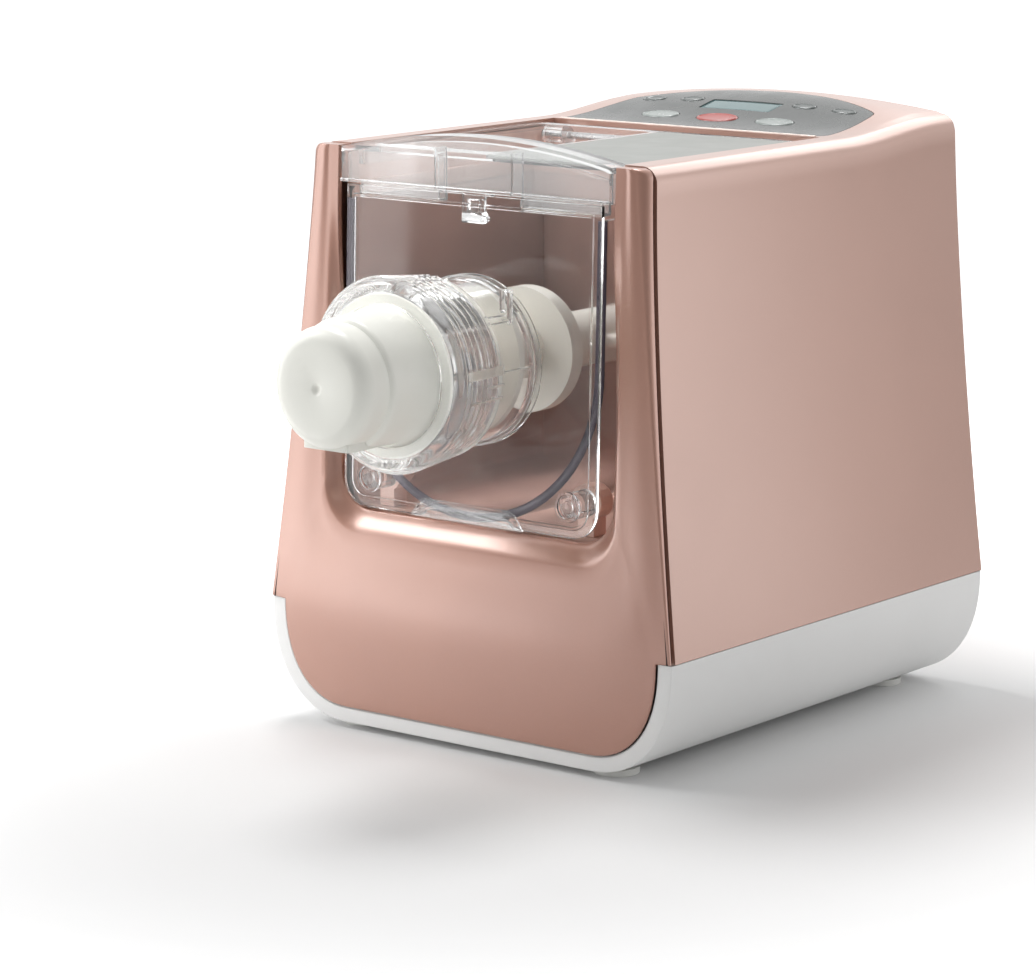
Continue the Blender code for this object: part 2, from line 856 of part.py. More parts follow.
def make_well_liner():
    rear = case_front - clearance
    liner = add_part("well_liner", box_mesh((-liner_outer, liner_front, liner_bottom),
                                            (liner_outer, rear, niche_floor + liner_wall / 2)),
                     "mauve_liner")
    tier = box_mesh((-tier_outer, liner_front, niche_floor),
                    (tier_outer, niche_rear + liner_wall, liner_top))
    combine(liner, add_cutter("tier_body", tier), "UNION")
    inside = box_mesh((-liner_inner, -overrun, liner_bottom + liner_wall),
                      (liner_inner, rear - liner_wall, liner_top + overrun))
    combine(liner, add_cutter("liner_inside_cutter", inside))
    inside = box_mesh((-tier_inner, -overrun * 2, niche_floor + liner_wall),
                      (tier_inner, niche_rear, liner_top + overrun * 2))
    combine(liner, add_cutter("tier_inside_cutter", inside))
    bore = rod_mesh(bearing_radius + clearance, rear - liner_wall - overrun, rear + overrun,
                    axis_height, segments=24)
    combine(liner, add_cutter("liner_bore_cutter", bore))
    pin = rod_along_x(hinge_pin_radius + clearance, -tier_outer - overrun,
                      tier_outer + overrun, hinge_place, hinge_height, 12)
    combine(liner, add_cutter("liner_pin_cutter", pin))
    return liner


def make_supports():
    side = liner_inner - rib_inset
    for name, sign in (("support_rib_right", 1), ("support_rib_left", -1)):
        near = sign * side
        far = sign * (side - rib_thickness)
        low, high = min(near, far), max(near, far)
        add_part(name, box_mesh((low, liner_front + rib_inset, tray_floor + tray_wall + clearance),
                                (high, case_front - rib_inset, liner_bottom - clearance)), "grey_plastic")


# Front plate with its pegs

def make_front_plate():
    right = [(plate_half_width, blend(plate_top, plate_bottom + plate_corner, step / 3))
             for step in range(4)]
    right += arc((plate_half_width - plate_corner, plate_bottom + plate_corner), plate_corner, -8, -90, 6)
    right += [(plate_step_half_width + plate_step, plate_bottom),
              (plate_step_half_width, plate_bottom + plate_step)]
    outline = right + [(-x, z) for x, z in reversed(right)]
    bm = prism_mesh(outline, 1, 0.0, plate_thickness)
    for vert in bm.verts:
        vert.co.y += plate_front(vert.co.z)
    plate = add_part("front_plate", bm, "clear_plastic")
    bore = rod_mesh(barrel_radius + clearance, -overrun, overrun, axis_height, segments=round_segments)
    combine(plate, add_cutter("plate_bore_cutter", bore))
    return smooth(plate)


def make_pegs():
    back = plate_front(peg_height + peg_radius) + plate_thickness + clearance
    for name, sign in (("right", 1), ("left", -1)):
        side = sign * peg_side
        smooth(add_part("plate_peg_" + name, rod_mesh(
            peg_radius, back, back + peg_length, peg_height, side), "clear_plastic"))
        outer = peg_radius + clearance + socket_wall
        socket = add_part("peg_socket_" + name, rod_mesh(
            outer, socket_setback, socket_setback + socket_length, peg_height, side), "dark_plastic")
        foot = box_mesh((side - outer / 2, socket_setback, liner_bottom + liner_wall + clearance),
                        (side + outer / 2, socket_setback + socket_length, peg_height))
        combine(socket, add_cutter("socket_foot_" + name, foot), "UNION")
        bore = rod_mesh(peg_radius + clearance, socket_setback - overrun,
                        socket_setback + socket_length + overrun, peg_height, side)
        combine(socket, add_cutter("socket_bore_cutter_" + name, bore))
        smooth(socket)


# Nozzle

def make_barrel():
    near = plate_front(axis_height - barrel_radius - barrel_collar)
    far = plate_front(axis_height + barrel_radius + barrel_collar) + plate_thickness
    flange = barrel_radius + barrel_collar
    profile = [
        (-barrel_length, barrel_radius), (near - clearance - barrel_collar_length, barrel_radius),
        (near - clearance - barrel_collar_length, flange), (near - clearance, flange),
        (near - clearance, barrel_radius), (far + clearance, barrel_radius),
        (far + clearance, flange), (far + clearance + barrel_collar_length, flange),
        (far + clearance + barrel_collar_length, barrel_bore), (-barrel_length, barrel_bore),
    ]
    return smooth(add_part("extrusion_barrel", turned_mesh(profile, axis_height, closed=True),
                           "clear_plastic"))


def make_ring_nut():
    rear = nut_front + nut_length
    inner = barrel_radius + running_gap
    profile = [(nut_front, nut_lip_radius), (nut_front, nut_front_radius - nut_ring_height)]
    pitch = (nut_length - nut_lip) / nut_rings
    for ring in range(nut_rings):
        start = nut_front + nut_lip / 2 + ring * pitch
        base = blend(nut_front_radius, nut_rear_radius, ring / (nut_rings - 1)) - nut_ring_height
        profile += [(start, base), (start + pitch / 4, base + nut_ring_height),
                    (start + pitch / 2, base + nut_ring_height), (start + pitch * 3 / 4, base)]
    profile += [(rear, nut_rear_radius - nut_ring_height), (rear, inner),
                (nut_front + nut_lip, inner), (nut_front + nut_lip, nut_lip_radius)]
    return smooth(add_part("ring_nut", turned_mesh(profile, axis_height, closed=True),
                           "clear_plastic", (0.0, nut_front, axis_height)))


def make_die():
    rear = -(barrel_length + clearance)
    front = -nozzle_reach
    shoulder = rear - die_flange
    bore = die_head_radius - die_wall
    profile = [(rear, bore), (rear, die_flange_radius), (shoulder, die_flange_radius),
               (shoulder, nut_lip_radius - running_gap),
               (nut_front - clearance, die_neck_radius),
               (-die_neck_end, die_neck_front_radius), (-die_neck_end, die_head_radius)]
    centre = (front + die_head_round, die_head_radius - die_head_round)
    for y, radius in arc(centre, die_head_round, 90, 180, 5):
        profile.append((y, radius))
    profile += [(front, die_pit_radius), (front + die_pit_depth, 0.0)]
    inside = [(front + die_wall, 0.0), (front + die_wall, bore)]
    whole = profile + inside
    die = add_part("die_body", turned_mesh(whole, axis_height, closed=True), "white_die")
    low = axis_height - die_neck_radius - overrun
    slot = box_mesh((-outlet_half_width - clearance, -outlet_front - clearance, low),
                    (outlet_half_width + clearance, -outlet_front + outlet_length + clearance,
                     axis_height - bore / 2))
    combine(die, add_cutter("die_slot_cutter", slot))
    smooth(die)
    top = axis_height - bore
    grid = add_part("die_outlet", box_mesh(
        (-outlet_half_width, -outlet_front, top - outlet_thickness),
        (outlet_half_width, -outlet_front + outlet_length, top)), "white_die")
    for column in range(outlet_columns):
        for row in range(outlet_rows):
            x = outlet_half_width * 2 * ((column + 0.5) / outlet_columns - 0.5)
            y = -outlet_front + outlet_length * (row + 0.5) / outlet_rows
            hole = prism_mesh(ellipse((x, y), (outlet_hole, outlet_hole), 6), 2,
                              top - outlet_thickness - overrun, top + overrun)
            combine(grid, add_cutter("die_hole_cutter_%d_%d" % (column, row), hole))
    return die


def make_extrusion_screw():
    tip = barrel_bore - screw_clearance
    front = -(barrel_length - screw_gap)
    length = screw_rear - front
    steps = max(int(round(length / screw_pitch * screw_steps_per_turn)), 1)
    lobe = 2 * math.pi * screw_lobe_share
    section = [(tip, -lobe / 2), (tip, -lobe / 6), (tip, lobe / 6), (tip, lobe / 2)]
    flank = lobe / 2 + lobe / 4
    for step in range(6):
        section.append((screw_core, blend(flank, 2 * math.pi - flank, step / 5)))
    bm = bmesh.new()
    rings = []
    for step in range(steps + 1):
        y = blend(front, screw_rear, step / steps)
        turn = 2 * math.pi * (y - front) / screw_pitch
        rings.append([bm.verts.new((radius * math.cos(angle + turn), y,
                                    axis_height + radius * math.sin(angle + turn)))
                      for radius, angle in section])
    for first, second in zip(rings, rings[1:]):
        for step in range(len(section)):
            after = (step + 1) % len(section)
            bm.faces.new((first[step], first[after], second[after], second[step]))
    bm.faces.new(rings[0])
    bm.faces.new(rings[-1])
    screw = add_part("extrusion_screw", bm, "nylon", (0.0, 0.0, axis_height))
    bore = rod_mesh(shaft_radius + clearance, shaft_front - clearance, screw_rear + overrun, axis_height)
    combine(screw, add_cutter("screw_bore_cutter", bore))
    return smooth(screw)


# Mixer inside the bowl

def make_paddle():
    bore = shaft_radius + clearance
    start = paddle_disc_place + paddle_disc_width
    profile = [(paddle_front, bore), (paddle_front, paddle_hub_radius),
               (paddle_disc_place, paddle_hub_radius), (paddle_disc_place, paddle_disc_radius),
               (start, paddle_disc_radius), (start, paddle_hub_radius),
               (paddle_rear, paddle_hub_radius), (paddle_rear, bore)]
    paddle = add_part("mixing_paddle", turned_mesh(profile, axis_height, 20, closed=True),
                      "nylon", (0.0, 0.0, axis_height))
    for number, share in enumerate(paddle_arm_place_shares):
        place = blend(start, paddle_rear, share)
        sign = 1 if number % 2 == 0 else -1
        arm_end = paddle_reach - paddle_wiper_width / 2
        ends = sorted((sign * (shaft_radius + paddle_hub_radius) / 2, sign * arm_end))
        arm = box_mesh((ends[0], place - paddle_arm_width / 2, axis_height - paddle_arm_thickness / 2),
                       (ends[1], place + paddle_arm_width / 2, axis_height + paddle_arm_thickness / 2))
        combine(paddle, add_cutter("paddle_arm_%d" % number, arm), "UNION")
        tips = sorted((sign * (paddle_reach - paddle_wiper_width), sign * paddle_reach))
        wiper_low = place - (paddle_rear - start) * paddle_wiper_share
        half = paddle_wiper_thickness / 2
        wiper = box_mesh((tips[0], wiper_low, axis_height - half),
                         (tips[1], place + paddle_arm_width / 4, axis_height + half))
        combine(paddle, add_cutter("paddle_wiper_%d" % number, wiper), "UNION")
    return smooth(paddle)


def make_shaft_parts():
    smooth(add_part("drive_shaft", rod_mesh(shaft_radius, shaft_front, case_rear - clearance * 2,
                                            axis_height), "steel", (0.0, 0.0, axis_height)))
    inner = shaft_radius + clearance
    wall = bowl_depth - bowl_rear_wall
    profile = [(wall - clearance - seal_flange, inner), (wall - clearance - seal_flange, seal_flange_radius),
               (wall - clearance, seal_flange_radius), (wall - clearance, bearing_radius),
               (bowl_depth, bearing_radius), (bowl_depth, inner)]
    smooth(add_part("shaft_seal", turned_mesh(profile, axis_height, 24, closed=True), "rubber"))
    smooth(add_part("front_bearing", ring_mesh(
        inner, bearing_radius, bowl_depth + clearance, case_front + case_wall + clearance,
        axis_height, 24), "steel"))
    smooth(add_part("rear_bearing", ring_mesh(
        inner, bearing_radius - clearance, case_rear - case_wall, cover_rear, axis_height, 24), "steel"))


# Gear train and motor

def gear_outline(teeth, height, turn=0.0):
    """Involute teeth of one gear, as (x, z) points about the given height."""
    pressure = math.radians(20)
    pitch = gear_module * teeth / 2
    base = pitch * math.cos(pressure)
    tip = pitch + gear_module * gear_addendum_share
    root = pitch - gear_module * gear_dedendum_share

    def half_tooth(radius):
        across = math.acos(min(base / max(radius, base), 1.0))
        spread = math.tan(pressure) - pressure - (math.tan(across) - across)
        return math.pi / (2 * teeth) + spread - gear_backlash / (2 * pitch)

    outline = []
    for tooth in range(teeth):
        middle = turn + 2 * math.pi * tooth / teeth
        flank = [(root, half_tooth(max(root, base))), (max(pitch, base), half_tooth(pitch)),
                 (tip, half_tooth(tip))]
        for radius, half in flank:
            outline.append((radius, middle - half))
        for radius, half in reversed(flank):
            outline.append((radius, middle + half))
    return [(radius * math.cos(angle), height + radius * math.sin(angle)) for radius, angle in outline]


def make_gear(name, teeth, height, low, high, bore, turn):
    gear = add_part(name, prism_mesh(gear_outline(teeth, height, turn), 1, low, high), "nylon",
                    (0.0, 0.0, height))
    combine(gear, add_cutter(name + "_bore_cutter", rod_mesh(
        bore, low - overrun, high + overrun, height)))
    return gear


def make_gear_train():
    up = math.pi / 2
    make_gear("output_gear", output_teeth, axis_height, output_gear_place,
              output_gear_place + output_gear_width, shaft_radius + clearance, -up)
    large = add_part("middle_gear", prism_mesh(
        gear_outline(middle_large_teeth, middle_height, -up), 1, middle_gear_place,
        middle_gear_place + middle_gear_width), "nylon", (0.0, 0.0, middle_height))
    small_turn = up + math.pi / middle_small_teeth
    small = prism_mesh(gear_outline(middle_small_teeth, middle_height, small_turn), 1,
                       output_gear_place, middle_gear_place + middle_gear_width / 2)
    combine(large, add_cutter("middle_gear_small_body", small), "UNION")
    combine(large, add_cutter("middle_gear_bore_cutter", rod_mesh(
        middle_axle_radius + clearance, output_gear_place - overrun,
        middle_gear_place + middle_gear_width + overrun, middle_height)))
    smooth(add_part("middle_axle", rod_mesh(
        middle_axle_radius, case_front + case_wall + clearance, case_rear - clearance / 2,
        middle_height), "steel"))
    pinion_turn = up + math.pi / pinion_teeth
    make_gear("motor_pinion", pinion_teeth, motor_height, middle_gear_place,
              middle_gear_place + middle_gear_width, motor_shaft_radius + clearance, pinion_turn)


def case_outline(margin):
    top = axis_height + gear_module * output_teeth / 2 + case_margin
    bottom = motor_height - gear_module * pinion_teeth / 2 - case_margin
    return rounded_box((-case_half_width + margin, bottom + margin),
                       (case_half_width - margin, top - margin), case_corner - margin, 4)


def make_gear_case():
    case = add_part("gear_case", prism_mesh(case_outline(0.0), 1, case_front, case_rear), "grey_plastic")
    combine(case, add_cutter("case_inside_cutter", prism_mesh(
        case_outline(case_wall), 1, case_front + case_wall, case_rear + overrun)))
    combine(case, add_cutter("case_bore_cutter", rod_mesh(
        bearing_radius + clearance, case_front - overrun, case_front + case_wall + overrun,
        axis_height, segments=24)))
    smooth(case)
    cover = add_part("gear_case_cover", prism_mesh(
        case_outline(0.0), 1, case_rear + clearance, cover_rear), "grey_plastic")
    combine(cover, add_cutter("cover_bore_cutter", rod_mesh(
        bearing_radius, case_rear - overrun, cover_rear + overrun, axis_height, segments=24)))
    combine(cover, add_cutter("cover_shaft_cutter", rod_mesh(
        motor_shaft_radius + running_gap, case_rear - overrun, cover_rear + overrun, motor_height)))
    smooth(cover)


def make_motor():
    bore = motor_shaft_radius + running_gap
    edge = motor_radius - motor_end_round
    profile = [(motor_front, bore), (motor_front, edge), (motor_front + motor_end_round, motor_radius),
               (motor_rear - motor_end_round, motor_radius), (motor_rear, edge), (motor_rear, bore)]
    smooth(add_part("motor_body", turned_mesh(profile, motor_height, 32, closed=True), "motor_steel"))
    smooth(add_part("motor_shaft", rod_mesh(
        motor_shaft_radius, middle_gear_place - clearance, fan_front + fan_width + clearance,
        motor_height), "steel", (0.0, 0.0, motor_height)))
    outline = []
    for blade in range(fan_blades):
        middle = 2 * math.pi * blade / fan_blades
        half = math.pi / fan_blades * fan_blade_share
        root = half * fan_radius / fan_hub_radius
        for radius, angle in ((fan_hub_radius, -root), (fan_radius, -half),
                              (fan_radius, half), (fan_hub_radius, root)):
            outline.append((radius * math.cos(middle + angle),
                            motor_height + radius * math.sin(middle + angle)))
    fan = add_part("cooling_fan", prism_mesh(outline, 1, fan_front, fan_front + fan_width),
                   "dark_plastic", (0.0, 0.0, motor_height))
    combine(fan, add_cutter("fan_bore_cutter", rod_mesh(
        motor_shaft_radius + clearance, fan_front - overrun, fan_front + fan_width + overrun, motor_height)))
    floor = tray_floor + tray_wall + clearance
    low = motor_front + motor_end_round * 2
    cradle = add_part("motor_cradle", box_mesh((-cradle_half_width, low, floor),
                                               (cradle_half_width, low + cradle_length, motor_height)),
                      "motor_steel")
    combine(cradle, add_cutter("cradle_seat_cutter", rod_mesh(
        motor_radius + clearance, low - overrun, low + cradle_length + overrun,
        motor_height, segments=32)))
    top = motor_height - motor_radius - clearance - cradle_wall
    combine(cradle, add_cutter("cradle_space_cutter", box_mesh(
        (-cradle_half_width + cradle_wall, low - overrun, floor + cradle_wall),
        (cradle_half_width - cradle_wall, low + cradle_length + overrun, top))))


# Lid

def make_lid():
    hinge = (0.0, hinge_place, hinge_height)
    skirt_bottom = lid_top - lid_wall - lid_skirt
    frame = add_part("lid_frame", box_mesh((-lid_half_width, lid_front, skirt_bottom),
                                           (lid_half_width, lid_rear, lid_top)), "clear_plastic", hinge)
    radius = (lid_half_width ** 2 + lid_arch_rise ** 2) / (2 * lid_arch_rise)
    spread = math.degrees(math.asin(lid_half_width / radius))
    peak = lid_top + lid_arch_rise
    crest = arc((0.0, peak - radius), radius, 90 - spread, 90 + spread, 12)
    band = [(lid_half_width, lid_bottom)] + crest + [(-lid_half_width, lid_bottom)]
    combine(frame, add_cutter("lid_band_body", prism_mesh(
        band, 1, lid_front, lid_front + lid_band_depth)), "UNION")
    inner = lid_half_width - lid_wall
    space = arc((0.0, peak - radius), radius - lid_wall, 90 - spread, 90 + spread, 12)
    hollow = [(inner, lid_bottom - overrun)] + [(min(max(x, -inner), inner), z) for x, z in space]
    hollow.append((-inner, lid_bottom - overrun))
    combine(frame, add_cutter("lid_band_cutter", prism_mesh(
        hollow, 1, lid_front + lid_wall, lid_front + lid_band_depth - lid_wall)))
    combine(frame, add_cutter("lid_under_cutter", box_mesh(
        (-inner, lid_front + lid_band_depth, skirt_bottom - overrun),
        (inner, lid_rear - lid_wall, lid_top - lid_wall))))
    combine(frame, add_cutter("fill_cutter", box_mesh(
        (-lid_half_width + fill_margin, fill_front, skirt_bottom),
        (fill_inner_edge, lid_rear - fill_margin, lid_top + overrun))))
    seat = lid_top - lid_plate_thickness
    plate_low = (fill_inner_edge + fill_margin / 2, lid_front + lid_band_depth + clearance)
    plate_high = (lid_half_width - lid_wall, lid_rear - fill_margin / 2)
    combine(frame, add_cutter("lid_plate_cutter", box_mesh(
        (plate_low[0] - lid_plate_gap, plate_low[1] - lid_plate_gap, seat - lid_plate_gap),
        (plate_high[0] + lid_plate_gap, plate_high[1] + lid_plate_gap, lid_top + overrun))))
    for sign in (1, -1):
        outer = sign * (lid_half_width - knuckle_inset)
        ends = sorted((outer, outer - sign * knuckle_length))
        knuckle = rod_along_x(knuckle_radius, ends[0], ends[1], hinge_place, hinge_height)
        label = "right" if sign > 0 else "left"
        combine(frame, add_cutter("knuckle_body_" + label, knuckle), "UNION")
        arm = box_mesh((ends[0], lid_rear - lid_wall, hinge_height - knuckle_radius / 2),
                       (ends[1], hinge_place, hinge_height + knuckle_radius / 2))
        combine(frame, add_cutter("knuckle_arm_" + label, arm), "UNION")
    combine(frame, add_cutter("knuckle_bore_cutter", rod_along_x(
        hinge_pin_radius + running_gap, -lid_half_width - overrun, lid_half_width + overrun,
        hinge_place, hinge_height, 12)))
    smooth(frame)
    add_part("lid_plate", box_mesh((*plate_low, seat), (*plate_high, lid_top)), "silver_plate", hinge)
    pin_end = tier_outer - clearance
    smooth(add_part("hinge_pin", rod_along_x(
        hinge_pin_radius, -pin_end, pin_end, hinge_place, hinge_height, 12), "steel"))
    make_latch(hinge)
    place = (lid_half_width - lid_wall - magnet_radius - magnet_wall_gap, magnet_place)
    top = lid_top - lid_wall - clearance
    magnet = prism_mesh(ellipse(place, (magnet_radius, magnet_radius), small_segments), 2,
                        top - magnet_height, top)
    smooth(add_part("lid_magnet", magnet, "steel", hinge))


def make_latch(hinge):
    back = plate_front(lid_bottom) + plate_thickness + latch_swing_gap
    top = lid_bottom - clearance
    bottom = top - latch_drop
    outline = [(back, top), (back, bottom), (back + latch_thickness, bottom),
               (back + latch_thickness + latch_hook, bottom + latch_hook),
               (back + latch_thickness, bottom + latch_hook * 2), (back + latch_thickness, top)]
    latch = prism_mesh(outline, 0, latch_offset - latch_half_width, latch_offset + latch_half_width)
    add_part("lid_latch", latch, "clear_plastic", hinge)


def make_reed_switch():
    side = tier_outer + clearance
    top = liner_top - liner_wall
    add_part("lid_switch", box_mesh(
        (side, magnet_place - switch_length / 2, top - switch_height),
        (side + switch_thickness, magnet_place + switch_length / 2, top)), "dark_plastic")


# Control panel

def panel_outline(grow):
    side = panel_half_width + grow
    front = panel_front - grow
    rear_side = panel_rear_half_width + grow
    points = arc((side - panel_corner, front + panel_corner), panel_corner, -90, 0, 4)
    points.append((blend(side, rear_side, panel_bend_share),
                   blend(panel_front, panel_side_rear, panel_bend_place_share)))
    points.append((rear_side, panel_side_rear + grow))
    for step in range(1, 5):
        share = step / 5
        x = rear_side * (1 - share)
        points.append((x, panel_side_rear + grow + (panel_rear - panel_side_rear) * math.sin(
            math.pi / 2 * share) ** panel_curve_power))
    points.append((0.0, panel_rear + grow))
    return points + [(-x, y) for x, y in reversed(points[:-1])]


def skin_mesh(low, high, top_offset, bottom_offset, columns, rows):
    """Block between two copies of the casing's top surface, lowered by the offsets."""
    bm = bmesh.new()
    layers = []
    for offset in (top_offset, bottom_offset):
        grid = []
        for row in range(rows + 1):
            y = blend(low[1], high[1], row / rows)
            line = []
            for column in range(columns + 1):
                x = blend(low[0], high[0], column / columns)
                line.append(bm.verts.new((x, y, casing_top(x, y) - offset)))
            grid.append(line)
        layers.append(grid)
    for grid in layers:
        for row in range(rows):
            for column in range(columns):
                bm.faces.new((grid[row][column], grid[row][column + 1],
                              grid[row + 1][column + 1], grid[row + 1][column]))
    upper, lower = layers
    edge = [(0, column) for column in range(columns)]
    edge += [(row, columns) for row in range(rows)]
    edge += [(rows, column) for column in range(columns, 0, -1)]
    edge += [(row, 0) for row in range(rows, 0, -1)]
    for number, (row, column) in enumerate(edge):
        after_row, after_column = edge[(number + 1) % len(edge)]
        bm.faces.new((upper[row][column], upper[after_row][after_column],
                      lower[after_row][after_column], lower[row][column]))
    return bm


def button_places():
    places = {
        "button_start": ((0.0, large_button_place), start_button, "red_button"),
        "button_right": ((large_button_side, large_button_place), large_button, "white_casing"),
        "button_left": ((-large_button_side, large_button_place), large_button, "white_casing"),
    }
    for number, side in enumerate(small_button_sides):
        for label, sign in (("right", 1), ("left", -1)):
            name = "button_small_%s_%d" % (label, number + 1)
            places[name] = ((sign * side, small_button_place), small_button, "grey_plastic")
    return places


def make_button(name, centre, radii, finish):
    bm = bmesh.new()
    steps = button_segments
    low = casing_top(*centre) - button_stem
    levels = ((1.0, None), (1.0, 0.0), (button_crown_share, button_proud))
    rings = []
    for scale, lift in levels:
        ring = []
        for x, y in ellipse(centre, (radii[0] * scale, radii[1] * scale), steps):
            z = low if lift is None else casing_top(x, y) + lift
            ring.append(bm.verts.new((x, y, z)))
        rings.append(ring)
    for first, second in zip(rings, rings[1:]):
        for step in range(steps):
            after = (step + 1) % steps
            bm.faces.new((first[step], first[after], second[after], second[step]))
    bm.faces.new(rings[0])
    bm.faces.new(rings[-1])
    return smooth(add_part(name, bm, finish, (centre[0], centre[1], low)))


def make_control_panel():
    reach = panel_half_width + carrier_margin
    glass = add_part("panel_glass", skin_mesh(
        (-reach, panel_front - carrier_margin), (reach, panel_rear + carrier_margin),
        0.0, panel_thickness, 6, 8), "panel_glass")
    combine(glass, add_cutter("panel_outline_body", prism_mesh(
        panel_outline(0.0), 2, niche_floor, rear_top + dome_rise + overrun)), "INTERSECT")
    carrier_top = cover_wall + carrier_gap
    carrier = add_part("panel_carrier", skin_mesh(
        (-reach, panel_front + carrier_margin / 2), (reach, carrier_rear),
        carrier_top, carrier_top + carrier_thickness, 4, 8), "grey_plastic")
    board_top = casing_top(0.0, large_button_place) - button_stem - button_travel - clearance
    board_top -= (casing_top(0.0, small_button_place) - casing_top(0.0, large_button_place)) / 2
    for label, sign in (("right", 1), ("left", -1)):
        for end, place in (("front", board_front + standoff_inset), ("rear", board_rear - standoff_inset)):
            side = sign * (board_half_width - standoff_inset)
            post = prism_mesh(ellipse((side, place), (standoff_radius, standoff_radius), 10), 2,
                              board_top + clearance, casing_top(side, place) - carrier_top
                              - carrier_thickness / 2)
            combine(carrier, add_cutter("standoff_%s_%s" % (label, end), post), "UNION")
    low = board_top - overrun
    high = rear_top + dome_rise + overrun
    for name, (centre, radii, finish) in button_places().items():
        grown = (radii[0] + button_clearance, radii[1] + button_clearance)
        hole = add_cutter(name + "_hole_cutter", prism_mesh(
            ellipse(centre, grown, button_segments), 2, low, high))
        combine(glass, hole)
        combine(carrier, hole)
        make_button(name, centre, radii, finish)
    window_low = (-display_half_width, display_place - display_half_depth)
    window_high = (display_half_width, display_place + display_half_depth)
    hole = add_cutter("display_hole_cutter", box_mesh(
        (window_low[0] - clearance, window_low[1] - clearance, low),
        (window_high[0] + clearance, window_high[1] + clearance, high)))
    combine(glass, hole)
    combine(carrier, hole)
    add_part("display_window", skin_mesh(window_low, window_high, clearance,
                                         carrier_top + carrier_thickness, 4, 2), "display")
    smooth(glass)
    add_part("control_board", box_mesh((-board_half_width, board_front, board_top - board_thickness),
                                       (board_half_width, board_rear, board_top)), "board_green")


# Power parts

def make_power_parts():
    low = (inlet_side - inlet_half_width, body_depth - inlet_depth, inlet_height - inlet_half_height)
    high = (inlet_side + inlet_half_width, body_depth, inlet_height + inlet_half_height)
    inlet = add_part("power_inlet", box_mesh(low, high), "dark_plastic")
    combine(inlet, add_cutter("inlet_socket_cutter", box_mesh(
        (low[0] + inlet_wall, body_depth - pin_length, low[2] + inlet_wall),
        (high[0] - inlet_wall, body_depth + overrun, high[2] - inlet_wall))))
    floor = tray_floor + tray_wall + clearance
    board_low = (-power_board_half_width, power_board_front, power_board_height)
    board_high = (power_board_half_width, power_board_rear, power_board_height + board_thickness)
    board = add_part("power_board", box_mesh(board_low, board_high), "board_green")
    middle = (power_board_front + power_board_rear) / 2
    for x in (board_low[0] + standoff_inset, board_high[0] - standoff_inset):
        for y in (board_low[1] + standoff_inset, board_high[1] - standoff_inset):
            leg = prism_mesh(ellipse((x, y), (standoff_radius, standoff_radius), 10), 2,
                             floor, power_board_height + board_thickness / 2)
            combine(board, add_cutter("board_leg_%d_%d" % (x > 0, y > middle), leg), "UNION")
    size = transformer_size
    block = box_mesh((-size[0] / 2, middle - size[1] / 2, power_board_height + board_thickness / 2),
                     (size[0] / 2, middle + size[1] / 2, power_board_height + size[2]))
    combine(board, add_cutter("transformer_body", block), "UNION")


def main():
    clear_scene()
    make_base_tray()
    make_feet()
    make_outer_cover()
    make_rear_panel()
    make_rear_screws()
    make_front_frame()
    make_mixing_bowl()
    make_well_liner()
    make_supports()
    make_front_plate()
    make_pegs()
    make_barrel()
    make_ring_nut()
    make_die()
    make_extrusion_screw()
    make_paddle()
    make_shaft_parts()
    make_gear_train()
    make_gear_case()
    make_motor()
    make_lid()
    make_reed_switch()
    make_control_panel()
    make_power_parts()


main()
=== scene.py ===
import math

import bmesh
import bpy
from mathutils import Matrix, Vector


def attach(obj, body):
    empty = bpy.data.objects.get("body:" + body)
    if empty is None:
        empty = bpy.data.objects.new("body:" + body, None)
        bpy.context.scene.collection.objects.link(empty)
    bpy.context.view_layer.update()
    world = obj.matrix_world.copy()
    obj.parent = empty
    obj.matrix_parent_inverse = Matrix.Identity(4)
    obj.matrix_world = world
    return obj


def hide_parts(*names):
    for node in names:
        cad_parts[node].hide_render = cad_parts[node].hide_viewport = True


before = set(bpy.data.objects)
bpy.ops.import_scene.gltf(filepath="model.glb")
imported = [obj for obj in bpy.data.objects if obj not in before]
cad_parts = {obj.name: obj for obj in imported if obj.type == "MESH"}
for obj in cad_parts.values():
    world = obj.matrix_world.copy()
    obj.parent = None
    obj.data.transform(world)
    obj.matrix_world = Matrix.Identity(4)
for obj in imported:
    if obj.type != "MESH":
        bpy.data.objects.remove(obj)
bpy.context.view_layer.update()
print("frame loaded:", len(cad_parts), "nodes")

# All pieces are drawn with y = 0 at the casing's front face, then moved here
frontY = -0.076

clear = 0.0003  # gap between pieces that touch
tiny = 1e-6  # points nearer than this are one
fullTurn = 2 * math.pi

casing = {
    "depth": 0.254, "topHalf": 0.0955, "seamHalf": 0.116, "seamZ": 0.0575, "topZ": 0.2728,
    "rearRise": 0.0052, "dome": 0.0062, "riseFrom": 0.170, "riseTo": 0.242, "corner": 0.008,
    "wall": 0.0025, "flare": 1.4, "topSetback": 0.0133, "seamSetback": 0.001, "groove": 0.003,
    "roundTop": 0.005, "roundSeam": 0.0008, "axisZ": 0.181, "boreRadius": 0.0113,
    "hinge": (0.1565, 0.266), "plateBottom": 0.107, "plateThick": 0.0024, "plateLean": 0.027,
}


# Camera and light

view = {"place": (1.0801, -1.4083, 0.4526), "azimuth": 38.26, "elevation": 10.87, "lens": 134.72,
        "sensor": 36.0, "reach": 20.0}


def addCamera():
    data = bpy.data.cameras.new("photoView")
    data.lens = view["lens"]
    data.sensor_width = view["sensor"]
    data.clip_end = view["reach"]
    camera = bpy.data.objects.new("photoView", data)
    camera.location = view["place"]
    camera.rotation_euler = (math.radians(90 - view["elevation"]), 0.0, math.radians(view["azimuth"]))
    bpy.context.scene.collection.objects.link(camera)
    bpy.context.scene.camera = camera


